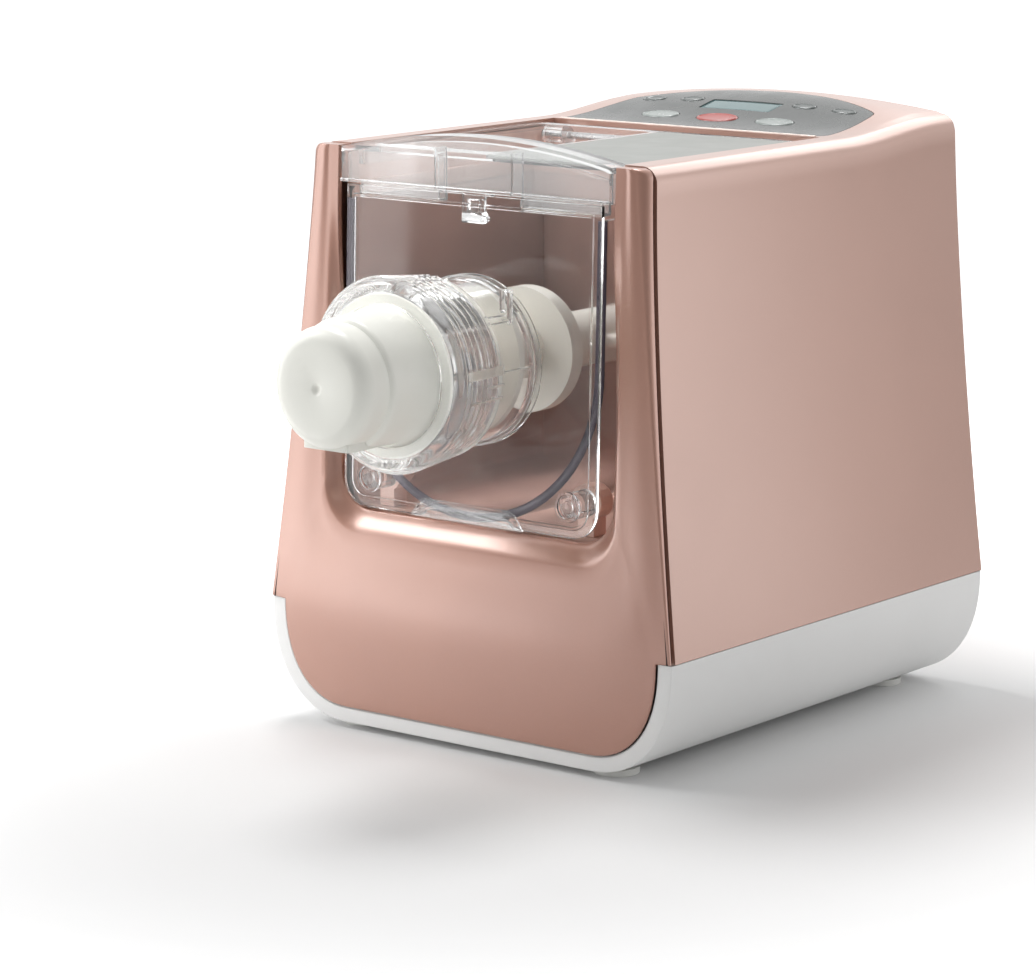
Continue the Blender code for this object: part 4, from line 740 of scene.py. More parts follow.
def makeTray():
    t = tray
    depth = casing["depth"]
    corner = t["soft"] * t["softShare"]
    # Each section's distance inside the outer form, its lift above the floor and its place along Y
    stations = [(t["rearSoft"], t["rearSoft"], depth), (0.0, 0.0, depth - t["rearSoft"]),
                (0.0, 0.0, t["front"] + t["soft"]), (corner, corner, t["front"] + corner),
                (t["soft"], t["soft"], t["front"]),
                (t["rim"] - t["soft"], t["rimDrop"] - t["soft"], t["front"]),
                (t["rim"], t["rimDrop"], t["front"] + t["soft"]),
                (t["rim"], t["rimDrop"], t["rimDepth"]), (t["wall"], t["wall"], t["rimDepth"]),
                (t["wall"], t["wall"], depth - t["wall"])]
    sections = []
    for inset, lift, y in stations:
        half = traySection(inset, lift, t["steps"])
        half += [(t["flat"] * (1 - i / t["floorSteps"]), half[-1][1]) for i in range(1, t["floorSteps"] + 1)]
        full = half + [(-x, z) for x, z in reversed(half[:-1])]
        sections.append([(x, y, z) for x, z in full])
    bm = bmesh.new()
    loft(bm, len(sections[0]) - 1, len(sections) - 1, lambda column, row: sections[row][column])
    closeShell(bm, (depth, depth - t["wall"]))
    piece = rawPiece("baseShell", bm)
    finishPiece(piece, "casing", "white_casing", whiteFinish, ("base_tray",), angle=32)


makeTray()
print("base made")


# Front fascia with its two posts

fascia = {"windowHalf": 0.0788, "windowZ": 0.1045, "windowCorner": 0.018, "dip": 0.0055, "topDip": 0.0001,
          "dipFrom": 0.16, "dipTo": 0.25, "bevelHalf": 0.0845, "bevelZ": 0.0936, "bevelCorner": 0.022,
          "crown": 0.0004, "bulge": 0.0009, "bulgeHalf": 0.108, "bulgeLow": 0.060, "bulgeHigh": 0.105,
          "wall": 0.0016, "lip": 0.0022, "lipEdge": 0.0007, "lipSoft": 0.0004, "straight": 36, "bend": 18,
          "low": 14, "rowPower": 1.7, "slope": 8, "gap": 0.0006, "seamDrop": 0.0001, "topRound": 0.0035,
          "levels": (0.09, 0.18, 0.28, 0.38, 0.48, 0.58, 0.68, 0.78, 0.88, 0.96), "roundMost": 0.8,
          "turns": (0, 22, 45, 67, 90), "capGap": 0.0006, "capDeep": 0.0002, "capInset": 0.0022,
          "inside": (0.0, 0.30, 0.16), "edge": 0.0009}


# How far down a post a row of points lies, with more rows at the rounded top
def downShare(row):
    return (row / (fascia["straight"] - 1)) ** fascia["rowPower"]


# Right half of one U-shaped line on the fascia, from a post's top to the middle of the bottom
def fasciaPath(kind):
    f = fascia
    top = casing["topZ"] - f["gap"]
    if kind == "outer":
        points = []
        for i in range(f["straight"]):
            z = mixed(top, casing["seamZ"] + f["gap"], downShare(i))
            over = max(z - (top - f["topRound"]), 0.0)
            inward = f["topRound"] - math.sqrt(max(f["topRound"] ** 2 - over ** 2, 0.0))
            points.append((halfWidth(z) - inward, z))
        low = traySection(tray["rim"] + clear, tray["rimDrop"] + clear, f["bend"])
        low[0] = (low[0][0], casing["seamZ"] - f["seamDrop"])
        points += low
        return points + [(tray["flat"] * (1 - i / f["low"]), low[-1][1]) for i in range(1, f["low"] + 1)]
    side, bottom, corner = ((f["windowHalf"], f["windowZ"], f["windowCorner"]) if kind == "window"
                            else (f["bevelHalf"], f["bevelZ"], f["bevelCorner"]))
    points = [(side, mixed(top, bottom + corner, downShare(i))) for i in range(f["straight"])]
    points += arcPoints((side - corner, bottom + corner), corner, 0, -90, f["bend"])
    return points + [((side - corner) * (1 - i / f["low"]), bottom) for i in range(1, f["low"] + 1)]


# The window's recess grows shallow towards the posts' tops
def recess(z):
    f = fascia
    return mixed(f["dip"], f["topDip"], easeShare(z, f["dipFrom"], f["dipTo"]))


# The part under the window swells a little to the front
def swell(x, z, share):
    f = fascia
    across = max(1 - (x / f["bulgeHalf"]) ** 2, 0.0)
    below = easeShare(-z, -f["bulgeHigh"], -f["bulgeLow"])
    return f["bulge"] * across * math.sin(math.pi * min(share, 1.0)) * below


# The fascia's lines from the window's inner lip over the slope and the face to the rounded outer edge
def fasciaLines():
    f = fascia
    window, bevel, outer = (fasciaPath(kind) for kind in ("window", "bevel", "outer"))
    lines = [[(x, frameFace(z) + recess(z) + back, z) for x, z in window] for back in (f["lip"], f["lipEdge"])]
    for i in range(f["slope"] + 1):
        share = i / f["slope"]
        fall = 0.5 + 0.5 * math.cos(math.pi * share)
        line = []
        for (ax, az), (bx, bz) in zip(window, bevel):
            x, z = mixed(ax, bx, share), mixed(az, bz, share)
            nudge = f["lipSoft"] if i == 0 else 0.0
            direction = Vector((bx - ax, 0.0, bz - az)).normalized()
            line.append((x + direction.x * nudge, frameFace(z) + recess(z) * fall, z + direction.z * nudge))
        lines.append(line)
    for level in f["levels"]:
        line = []
        for (ax, az), (bx, bz) in zip(bevel, outer):
            width = math.hypot(bx - ax, bz - az)
            share = level * (1 - min(frameRound(bz), width * f["roundMost"]) / width)
            x, z = mixed(ax, bx, share), mixed(az, bz, share)
            crown = f["crown"] * math.sin(math.pi * level) ** 2
            line.append((x, frameFace(z) - crown - swell(x, z, level), z))
        lines.append(line)
    for turn in f["turns"]:
        line = []
        for (ax, az), (bx, bz) in zip(bevel, outer):
            width = math.hypot(bx - ax, bz - az)
            radius = min(frameRound(bz), width * f["roundMost"])
            share = 1 - radius * (1 - math.sin(math.radians(turn))) / width
            x, z = mixed(ax, bx, share), mixed(az, bz, share)
            line.append((x, frameFace(z) + radius * (1 - math.cos(math.radians(turn))), z))
        lines.append(line)
    return lines


def makeFascia():
    f = fascia
    lines = fasciaLines()
    full = [line + [(-x, y, z) for x, y, z in reversed(line[:-1])] for line in lines]
    bm = bmesh.new()
    loft(bm, len(full[0]) - 1, len(full) - 1, lambda column, row: full[row][column])
    top = casing["topZ"] - f["gap"]
    capRear = coverEdge(top) - f["capGap"]
    # A cap on each post reaches back to the cover's edge
    for sign in (1, -1):
        ends = [edge for edge in bm.edges if edge.is_boundary
                and all(abs(v.co.z - top) < 10 * tiny and v.co.x * sign > 0 for v in edge.verts)]
        tips = sorted(lineEnds(ends), key=lambda v: v.co.x * sign)
        inner = bm.verts.new((tips[0].co.x, max(capRear, tips[0].co.y + f["capDeep"]), top))
        outer = bm.verts.new((tips[1].co.x - sign * f["capInset"], capRear, top))
        back = [bm.edges.new(pair) for pair in ((tips[0], inner), (inner, outer), (outer, tips[1]))]
        bmesh.ops.contextual_create(bm, geom=ends + back)
    faceOut(bm, f["inside"])
    piece = rawPiece("fasciaShell", bm)
    addWall(piece, f["wall"])
    applyAll(piece)
    finishPiece(piece, "casing", "rose_metal", roseFasciaShaded, ("front_frame",), edge=f["edge"], angle=50)


# The strip's section, as distances inward and back from the cover's front edge
groove = {"section": ((0.0012, -0.0036), (0.0030, -0.0022), (0.0030, 0.004)), "thick": 0.0008,
          "inside": (0.0, 0.1, 0.16)}


# Dark strip at the bottom of the gap between the fascia and the side cover, a sheet of painted shade where the gap
# lies in shadow
def makeGroove():
    outer = fasciaPath("outer")[1:fascia["straight"]]
    rows = [[(x - inward, coverEdge(z) + back, z) for inward, back in groove["section"]] for x, z in outer]
    for sign, label in ((1, "Right"), (-1, "Left")):
        bm = bmesh.new()
        loft(bm, 2, len(rows) - 1, lambda column, row: (sign * rows[row][column][0], *rows[row][column][1:]))
        faceOut(bm, groove["inside"])
        piece = rawPiece("grooveShadeBed" + label, bm)
        addWall(piece, groove["thick"])
        finishPiece(piece, "casing", "dark_plastic", grooveShadeFinish)


makeFascia()
makeGroove()
print("fascia made")


# Well liner and mixing bowl

liner = {"inner": 0.0745, "wall": 0.0025, "front": 0.0125, "rear": 0.1535, "bottom": 0.103, "ledge": 0.2542,
         "tierInner": 0.0776, "tierRear": 0.1632, "top": 0.2698, "corner": 0.006, "roomCorner": 0.004,
         "tierLap": 0.0012, "tierStep": 0.0013, "open": -0.02, "over": (0.02, 0.01), "bore": (0.1, 0.2),
         "pin": 0.0021, "edge": 0.0006}


def makeLiner():
    n = liner
    piece = blockPiece("wellShell", (-n["inner"] - n["wall"], n["front"], n["bottom"]),
                       (n["inner"] + n["wall"], n["rear"], n["ledge"]), n["corner"], 1, 4)
    tier = blockPiece("tier", (-n["tierInner"] - n["wall"], n["front"], n["ledge"] - n["tierLap"]),
                      (n["tierInner"] + n["wall"], n["tierRear"] + n["wall"], n["top"]))
    combine(piece, [tier], "UNION")
    room = blockPiece("room", (-n["inner"], n["open"], n["bottom"] + n["wall"]),
                      (n["inner"], n["rear"] - n["wall"], n["top"] + n["over"][0]), n["roomCorner"], 1, 4)
    upper = blockPiece("upper", (-n["tierInner"], n["open"], n["ledge"] + n["tierStep"]),
                       (n["tierInner"], n["tierRear"], n["top"] + n["over"][1]))
    combine(piece, [room, upper, boreTool(*n["bore"], casing["boreRadius"]),
                    barTool(n["pin"], (0.0, *casing["hinge"]))])
    finishPiece(piece, "casing", "mauve_liner", linerFinish, ("well_liner",), edge=n["edge"], segments=2, angle=50)


bowl = {"radius": 0.070, "wall": 0.0034, "rear": 0.150, "rearWall": 0.003, "top": 0.2485, "bend": 40,
        "rise": 8, "lip": 0.0009, "soft": 0.0002, "bore": (0.13, 0.17), "rimGrow": 0.0004, "rimGap": 0.0002,
        "rimThick": 0.0006, "inside": (0.0, 0.1, 0.18)}


# The bowl's U-shaped section, from one upper edge to the other
def bowlSection(radius, top):
    half = [(radius, mixed(top, casing["axisZ"], i / bowl["rise"])) for i in range(bowl["rise"] + 1)]
    half += arcPoints((0.0, casing["axisZ"]), radius, 0, -90, bowl["bend"] // 2)[1:]
    return half + [(-x, z) for x, z in reversed(half[:-1])]


def makeBowl():
    b = bowl
    inner = bowlSection(b["radius"], b["top"])
    outer = bowlSection(b["radius"] + b["wall"], b["top"])
    middle = bowlSection(b["radius"] + b["wall"] / 2, b["top"])

    def front(z, back):
        return plateRear(z) + clear + back

    def between(share):
        return [(mixed(xi, xo, share), front(zi, b["soft"]), mixed(zi, zo, share))
                for (xi, zi), (xo, zo) in zip(inner, outer)]

    rows = [[(x, b["rear"] - b["rearWall"], z) for x, z in inner],
            [(x, front(z, b["lip"]), z) for x, z in inner],
            between(0.25),
            [(x, front(z, 0.0), z) for x, z in middle],
            between(0.75),
            [(x, front(z, b["lip"]), z) for x, z in outer],
            [(x, b["rear"], z) for x, z in outer]]
    bm = bmesh.new()
    loft(bm, len(inner) - 1, len(rows) - 1, lambda column, row: rows[row][column])
    closeShell(bm, (b["rear"], b["rear"] - b["rearWall"]))
    piece = rawPiece("bowlShell", bm)
    combine(piece, [boreTool(*b["bore"], casing["boreRadius"])])
    finishPiece(piece, "casing", "bowl_plastic", bowlFinish, ("mixing_bowl",), angle=35)


# The cut front edge of the bowl, where the smoky plastic looks darker
def makeBowlRim():
    b = bowl
    sections = [bowlSection(b["radius"] - b["rimGrow"], b["top"] - b["rimGap"]),
                bowlSection(b["radius"] + b["wall"] + b["rimGrow"], b["top"] - b["rimGap"])]
    bm = bmesh.new()

    def spot(column, row):
        x, z = sections[row][column]
        return x, plateRear(z) + b["rimGap"], z

    loft(bm, len(sections[0]) - 1, 1, spot)
    faceOut(bm, b["inside"])
    piece = rawPiece("bowlRim", bm)
    addWall(piece, b["rimThick"])
    finishPiece(piece, "casing", "bowl_plastic", bowlRimFinish)


makeLiner()
makeBowl()
makeBowlRim()
print("well and bowl made")


# Mixer: paddle and screw

paddle = {"bore": 0.0063, "hub": 0.013, "front": 0.0145, "rear": 0.138, "disc": 0.029, "discY": 0.041,
          "discWidth": 0.008, "reach": 0.064, "armWidth": 0.012, "armThick": 0.006, "armCorner": 0.0022,
          "arms": (0.46, 0.93), "wiper": 0.008, "wiperThick": 0.0095, "wiperShare": 0.36, "wiperCorner": 0.003,
          "edge": 0.0012}


def makePaddle():
    p = paddle
    axis = casing["axisZ"]
    start = p["discY"] + p["discWidth"]
    piece = turnedPiece("paddleForm", [
        (p["front"], p["bore"]), (p["front"], p["hub"]), (p["discY"], p["hub"]), (p["discY"], p["disc"]),
        (start, p["disc"]), (start, p["hub"]), (p["rear"], p["hub"]), (p["rear"], p["bore"])], axis, 64)
    tools = []
    for share, sign in zip(p["arms"], (1, -1)):
        y = mixed(start, p["rear"], share)
        ends = sorted((sign * (p["bore"] + p["hub"]) / 2, sign * (p["reach"] - p["wiper"] / 2)))
        tools.append(blockPiece("arm", (ends[0], y - p["armWidth"] / 2, axis - p["armThick"] / 2),
                                (ends[1], y + p["armWidth"] / 2, axis + p["armThick"] / 2), p["armCorner"], 0, 4))
        tips = sorted((sign * (p["reach"] - p["wiper"]), sign * p["reach"]))
        back = y - (p["rear"] - start) * p["wiperShare"]
        tools.append(blockPiece("wiper", (tips[0], back, axis - p["wiperThick"] / 2),
                                (tips[1], y + p["armWidth"] / 4, axis + p["wiperThick"] / 2), p["wiperCorner"], 1))
    combine(piece, tools, "UNION")
    finishPiece(piece, "mixer", "nylon", nylonFinish, ("mixing_paddle",), edge=p["edge"], angle=50)


screw = {"tip": 0.0327, "core": 0.0095, "bore": 0.0063, "front": -0.048, "rear": 0.011, "pitch": 0.024,
         "rootWidth": 0.0062, "rootSunk": 0.001, "tipWidth": 0.0036, "stepsPerTurn": 48}


# A core with one flight wound round it
def makeScrew():
    s = screw
    axis = casing["axisZ"]
    piece = turnedPiece("screwForm", [(s["front"], s["bore"]), (s["front"], s["core"]), (s["rear"], s["core"]),
                                      (s["rear"], s["bore"])], axis, 64)
    flight = bmesh.new()
    low = s["front"] + s["rootWidth"] / 2
    reach = s["rear"] - s["rootWidth"] / 2 - low
    root = s["core"] - s["rootSunk"]
    corners = [(low - s["rootWidth"] / 2, root), (low - s["tipWidth"] / 2, s["tip"]),
               (low + s["tipWidth"] / 2, s["tip"]), (low + s["rootWidth"] / 2, root)]
    face = flight.faces.new([flight.verts.new((0.0, y, axis + radius)) for y, radius in corners])
    steps = int(reach / s["pitch"] * s["stepsPerTurn"])
    bmesh.ops.spin(flight, geom=[face], cent=(0.0, 0.0, axis), axis=(0.0, 1.0, 0.0),
                   dvec=(0.0, reach / steps, 0.0), angle=-fullTurn * reach / s["pitch"], steps=steps)
    bmesh.ops.remove_doubles(flight, verts=flight.verts, dist=tiny)
    bmesh.ops.recalc_face_normals(flight, faces=flight.faces)
    combine(piece, [rawPiece("flight", flight)], "UNION")
    finishPiece(piece, "mixer", "nylon", nylonFinish, ("extrusion_screw",))


makePaddle()
makeScrew()
print("mixer made")


# Clear front plate

frontPlate = {"half": 0.0727, "top": 0.255, "corner": 0.013, "stepHalf": 0.024, "step": 0.003, "stepSoft": 0.0006,
              "stepShares": (0.6, 0.2, -0.2), "rimInset": 0.0038, "rimWidth": 0.0011, "rimTall": 0.0007,
              "rimSlope": 0.00025, "bossX": 0.0575, "bossZ": 0.121, "bossRadius": 0.0068, "bossWall": 0.0013,
              "bossTall": 0.0011, "sunk": 0.001,
              "pip": (0.0032, 0.0028), "pipTall": (0.0006, 0.0009), "hole": 0.0373, "through": 0.02, "edge": 0.0003}


def makeFrontPlate():
    p = frontPlate
    bottom = casing["plateBottom"]
    right = [(p["half"], mixed(p["top"], bottom + p["corner"], i / 10)) for i in range(11)]
    right += arcPoints((p["half"] - p["corner"], bottom + p["corner"]), p["corner"], -8, -90, 10)
    heights = (p["stepSoft"], p["step"] - p["stepSoft"], p["step"])
    right.append((p["stepHalf"] + p["step"], bottom))
    right += [(p["stepHalf"] + p["step"] * share, bottom + up) for share, up in zip(p["stepShares"], heights)]
    bm = bmesh.new()
    slab(bm, right + [(-x, z) for x, z in reversed(right)], 1, 0.0, casing["plateThick"])
    front = [face for face in bm.faces if face.normal.y < -0.9]
    # A narrow raised rim runs round the plate's front
    for width, depth in ((p["rimInset"], 0.0), (p["rimSlope"], p["rimTall"]), (p["rimWidth"], 0.0),
                         (p["rimSlope"], -p["rimTall"])):
        bmesh.ops.inset_region(bm, faces=front, thickness=width, depth=depth, use_even_offset=True)
    for vert in bm.verts:
        vert.co.y += plateFront(vert.co.z)
    piece = rawPiece("clearFront", bm)
    face = plateFront(p["bossZ"])
    inner, outer = p["bossRadius"] - p["bossWall"], p["bossRadius"]
    boss = [(face + p["sunk"], inner), (face - p["bossTall"], inner), (face - p["bossTall"], outer),
            (face + p["sunk"], outer)]
    pip = [(face + p["sunk"], 0.0), (face + p["sunk"], p["pip"][0]), (face - p["pipTall"][0], p["pip"][1]),
           (face - p["pipTall"][1], 0.0)]
    tools = []
    for side in (p["bossX"], -p["bossX"]):
        tools += [turnedPiece("boss", boss, p["bossZ"], 48, side),
                  turnedPiece("pip", pip, p["bossZ"], 32, side, closed=False)]
    combine(piece, tools, "UNION")
    combine(piece, [boreTool(-p["through"], p["through"], p["hole"], 96)])
    finishPiece(piece, "front_assembly", "clear_plastic", paneFinish, ("front_plate",), edge=p["edge"], segments=2,
                angle=60)


# Barrel, ring nut and die

# Ribs are turns about the axis with a start and an end, stops are the corners of three ridges each
barrel = {"radius": 0.037, "wall": 0.003, "front": -0.052, "collar": 0.0388, "collarLength": 0.0016,
          "soft": 0.0008, "ribTall": 0.0016, "ribHalf": 0.0006, "ribSunk": 0.001,
          "ribs": (((1, 181), -0.0225, -0.0015), ((35.5, 40.5, 215.5, 220.5), -0.0222, -0.0065)),
          "stops": (((0.0262, -0.0094, 0.0200), (0.0276, -0.0064, 0.0355)),
                    ((0.0304, -0.0094, 0.0200), (0.0318, -0.0064, 0.0355)),
                    ((0.0262, -0.0094, 0.0342), (0.0318, -0.0064, 0.0356))), "edge": 0.0004}


def makeBarrel():
    b = barrel
    near = plateFront(casing["axisZ"] - b["collar"]) - clear
    far = plateRear(casing["axisZ"] + b["collar"]) + clear
    front, back = near - b["collarLength"], far + b["collarLength"]
    inner, soft = b["radius"] - b["wall"], b["soft"]
    # Two collars hold the plate between them
    profile = [(b["front"], b["radius"] - soft), (b["front"] + soft, b["radius"]), (front - soft, b["radius"]),
               (front, b["radius"] + soft), (front, b["collar"] - soft), (front + soft, b["collar"]),
               (near, b["collar"]), (near, b["radius"]), (far, b["radius"]), (far, b["collar"]),
               (back - soft, b["collar"]), (back, b["collar"] - soft), (back, inner + soft), (back - soft, inner),
               (b["front"] + soft, inner), (b["front"], inner + soft)]
    piece = turnedPiece("barrelTube", profile, casing["axisZ"], 128)
    low, high = b["radius"] - b["ribSunk"], b["radius"] + b["ribTall"]
    ridges = [(-turn, (low, start, -b["ribHalf"]), (high, end, b["ribHalf"]))
              for turns, start, end in b["ribs"] for turn in turns]
    ridges += [(turn, low, high) for turn in (0, 180) for low, high in b["stops"]]
    tools = []
    for turn, low, high in ridges:
        ridge = bmesh.new()
        block(ridge, low, high, b["edge"], None, 2)
        aroundAxis(ridge, turn)
        tools.append(rawPiece("ridge", ridge))
    combine(piece, tools, "UNION")
    finishPiece(piece, "front_assembly", "clear_plastic", nutFinish, ("extrusion_barrel",), angle=35)


# The grips at each turn are an offset in degrees, a width and a distance from the nut's front
nut = {"front": -0.058, "length": 0.035, "frontRadius": 0.044, "rearRadius": 0.041, "lip": 0.0028,
       "lipRadius": 0.032, "lipSoft": 0.0005, "cornerSoft": 0.0006, "rearSoft": 0.0004, "rearStep": 0.0003,
       "frontRound": ((0.0, 0.0042), (0.0005, 0.0022), (0.0018, 0.0006)), "rings": 8, "ringsFrom": 0.0030,
       "ringTall": 0.0015, "ring": ((0.0, 0.0), (0.16, 0.55), (0.32, 1.0), (0.5, 0.9), (0.66, 0.45), (0.8, 0.0)),
       "bore": 0.0374, "turns": (4, 94, 184, 274), "gripSunk": 0.0030, "gripProud": 0.0003, "gripEnd": 0.0012,
       "grips": ((0, 0.0045, 0.006), (-17, 0.0012, 0.010), (-9, 0.0014, 0.020)), "edge": 0.0005}


def makeNut():
    n = nut
    rear, lipEnd = n["front"] + n["length"], n["front"] + n["lip"]
    base = n["frontRadius"] - n["ringTall"]
    profile = [(n["front"] + n["lipSoft"], n["lipRadius"]), (n["front"], n["lipRadius"] + n["cornerSoft"])]
    profile += [(n["front"] + back, base - down) for back, down in n["frontRound"]]
    pitch = (n["length"] - n["ringsFrom"]) / n["rings"]
    for i in range(n["rings"]):
        y = n["front"] + n["ringsFrom"] + i * pitch
        level = mixed(n["frontRadius"], n["rearRadius"], i / (n["rings"] - 1)) - n["ringTall"]
        profile += [(y + pitch * along, level + n["ringTall"] * up) for along, up in n["ring"]]
    profile += [(rear, n["rearRadius"] - n["ringTall"] - n["rearStep"]), (rear, n["bore"] + n["rearSoft"]),
                (rear - n["rearSoft"], n["bore"]), (lipEnd + n["cornerSoft"], n["bore"]),
                (lipEnd, n["bore"] - n["cornerSoft"]), (lipEnd, n["lipRadius"] + n["lipSoft"]),
                (lipEnd - n["lipSoft"], n["lipRadius"])]
    piece = turnedPiece("threadNut", profile, casing["axisZ"], 144)
    tools = []
    for turn in n["turns"]:
        for offset, width, start in n["grips"]:
            grip = bmesh.new()
            block(grip, (n["rearRadius"] - n["gripSunk"], n["front"] + start, -width / 2),
                  (n["rearRadius"] + n["gripProud"], rear - n["gripEnd"], width / 2), n["edge"], None, 2)
            for vert in grip.verts:
                vert.co.x += (n["frontRadius"] - n["rearRadius"]) * ((rear - vert.co.y) / n["length"])
            aroundAxis(grip, -(turn + offset))
            tools.append(rawPiece("grip", grip))
    combine(piece, tools, "UNION")
    finishPiece(piece, "nut", "clear_plastic", nutFinish, ("ring_nut",), angle=35)


# Pairs named Round are steps along the axis and changes of radius, from the neck's end or the front
die = {"rear": -0.0523, "front": -0.102, "flange": 0.0365, "flangeDeep": 0.0026, "soft": 0.0004, "shoulder": 0.0316,
       "neckRear": 0.0305, "neckFront": 0.0292, "neckEnd": -0.085, "neckBack": 0.0022,
       "neckRound": ((0.0010, -0.0003), (0.0002, -0.0010)), "head": 0.027,
       "headRound": ((-0.0004, 0.0002), (-0.0014, 0.0)), "round": 0.008, "flat": 0.003, "wall": 0.004,
       "pit": 0.0024, "pitDeep": 0.0014, "pitSoft": (0.0002, 0.0008), "slotHalf": 0.013, "slotFront": -0.0965,
       "slotLength": 0.033, "slotDeep": 0.045, "slotCorner": 0.002}


def makeDie():
    d = die
    inner = d["head"] - d["wall"]
    shoulder = d["rear"] - d["flangeDeep"]
    profile = [(d["rear"], inner), (d["rear"], d["flange"] - d["soft"]), (d["rear"] - d["soft"], d["flange"]),
               (shoulder + d["soft"], d["flange"]), (shoulder, d["flange"] - d["soft"]),
               (shoulder, d["shoulder"]), (nut["front"] - clear, d["neckRear"])]
    profile += [(mixed(nut["front"], d["neckEnd"] + d["neckBack"], i / 4),
                 mixed(d["neckRear"], d["neckFront"], i / 4)) for i in range(1, 5)]
    profile += [(d["neckEnd"] + along, d["neckFront"] + up) for along, up in d["neckRound"]]
    profile += [(d["neckEnd"] + along, d["head"] + up) for along, up in d["headRound"]]
    profile += arcPoints((d["front"] + d["round"], d["head"] - d["round"]), d["round"], 90, 172, 14)
    profile += [(d["front"], d["head"] - d["round"] - d["flat"]), (d["front"], d["pit"] + d["pitSoft"][1]),
                (d["front"] + d["pitSoft"][0], d["pit"]), (d["front"] + d["pitDeep"] * 0.8, d["pit"] * 0.6),
                (d["front"] + d["pitDeep"], 0.0), (d["front"] + d["wall"], 0.0), (d["front"] + d["wall"], inner)]
    bm = bmesh.new()
    turned(bm, profile, casing["axisZ"], 128)
    onAxis = [edge for edge in bm.edges
              if all(math.hypot(v.co.x, v.co.z - casing["axisZ"]) < 10 * tiny for v in edge.verts)]
    bmesh.ops.delete(bm, geom=onAxis, context="EDGES")
    piece = rawPiece("dieForm", bm)
    wide, slotEnd = d["slotHalf"] + clear, d["slotFront"] + d["slotLength"]
    slot = blockPiece("slot", (-wide, d["slotFront"] - clear, casing["axisZ"] - d["slotDeep"]),
                      (wide, slotEnd + clear, casing["axisZ"] - inner / 2), d["slotCorner"], 2, 4)
    combine(piece, [slot])
    finishPiece(piece, "front_assembly", "white_die", dieFinish, ("die_body",), angle=38)


outlet = {"thick": 0.0042, "corner": 0.0018, "columns": 3, "rows": 6, "hole": 0.0015, "flare": 1.5, "over": 0.002,
          "edge": 0.0003}


# Grid of holes in the slot under the die's head
def makeOutlet():
    d, o = die, outlet
    top = casing["axisZ"] - (d["head"] - d["wall"])
    grid = blockPiece("outletGrid", (-d["slotHalf"], d["slotFront"], top - o["thick"]),
                      (d["slotHalf"], d["slotFront"] + d["slotLength"], top), o["corner"], 2, 4)
    holes = bmesh.new()
    for column in range(o["columns"]):
        for row in range(o["rows"]):
            x = d["slotHalf"] * 2 * ((column + 0.5) / o["columns"] - 0.5)
            y = d["slotFront"] + d["slotLength"] * (row + 0.5) / o["rows"]
            bmesh.ops.create_cone(holes, cap_ends=True, segments=20, radius1=o["hole"] * o["flare"],
                                  radius2=o["hole"], depth=o["thick"] + o["over"],
                                  matrix=Matrix.Translation((x, y, top - o["thick"] / 2)))
    combine(grid, [rawPiece("holes", holes)])
    finishPiece(grid, "front_assembly", "white_die", dieFinish, ("die_outlet",), edge=o["edge"], segments=2,
                angle=50)


makeFrontPlate()
makeBarrel()
makeNut()
makeDie()
makeOutlet()
print("nozzle made")


# Lid

lid = {"half": 0.0772, "front": 0.0052, "rear": 0.151, "bottom": 0.2559, "top": 0.2718, "wall": 0.0028,
       "rise": 0.0088, "band": 0.013, "skirt": 0.006, "deckLap": 0.004, "deckCorner": 0.003,
       "underCorner": 0.002, "over": 0.01, "plateThick": 0.0014, "plateCorner": 0.0012, "plateEdge": 0.0003,
       "fillInner": -0.004, "fillMargin": 0.006, "fillFront": 0.030, "fillLow": 0.002, "fillCorner": 0.004,
       "knuckle": 0.0052, "knuckleLength": 0.012, "knuckleInset": 0.003, "armInset": 0.0005, "armShare": 0.55,
       "pin": 0.0022, "ribs": (-0.0231, 0.0206), "ribHalf": 0.0007, "ribLap": 0.0004, "ribLift": 0.0002,
       "ribOver": 0.0025, "ledge": (-0.0016, 0.0008), "ledgeTall": 0.0016, "ledgeInset": 0.0004,
       "step": (0.0052, 0.0064), "stepHalf": 0.0008, "stepInset": 0.0005, "edge": 0.0005}

# Corners of the two small boxes under the front band and of the rooms inside them
pockets = {
    "boxes": (((-0.0692, 0.0093, 0.2495), (-0.0222, 0.0152, 0.2562)),
              ((0.0240, 0.0093, 0.2495), (0.0692, 0.0152, 0.2562))),
    "rooms": (((-0.0680, 0.0103, 0.2507), (-0.0234, 0.0142, 0.2700)),
              ((0.0252, 0.0103, 0.2507), (0.0680, 0.0142, 0.2700))),
    "corner": 0.0014, "roomCorner": 0.0009,
}


# Crest line of the lid's front band, from right to left
def lidArch(inset, drop, steps=28):
    half = lid["half"]
    radius = (half ** 2 + lid["rise"] ** 2) / (2 * lid["rise"])
    spread = math.degrees(math.asin(half / radius))
    crest = arcPoints((0.0, lid["top"] + lid["rise"] - radius), radius - drop, 90 - spread, 90 + spread, steps)
    edge = half - inset
    return [(min(max(x, -edge), edge), z) for x, z in crest]


def plateBox():
    d = lid
    return ((d["fillInner"] + d["fillMargin"] / 2, d["front"] + d["band"] + clear),
            (d["half"] - d["wall"], d["rear"] - d["fillMargin"] / 2))


def lidKnuckles():
    d = lid
    hingeY, hingeZ = casing["hinge"]
    tall = d["knuckle"] * d["armShare"]
    tools = []
    for sign in (1, -1):
        outer = sign * (d["half"] - d["knuckleInset"])
        ends = sorted((outer, outer - sign * d["knuckleLength"]))
        knuckle = bmesh.new()
        crossBar(knuckle, d["knuckle"], d["knuckleLength"], ((ends[0] + ends[1]) / 2, hingeY, hingeZ), 40)
        tools += [rawPiece("knuckle", knuckle),
                  blockPiece("arm", (ends[0] + d["armInset"], d["rear"] - d["wall"], hingeZ - tall),
                             (ends[1] - d["armInset"], hingeY, hingeZ + tall))]
    return tools


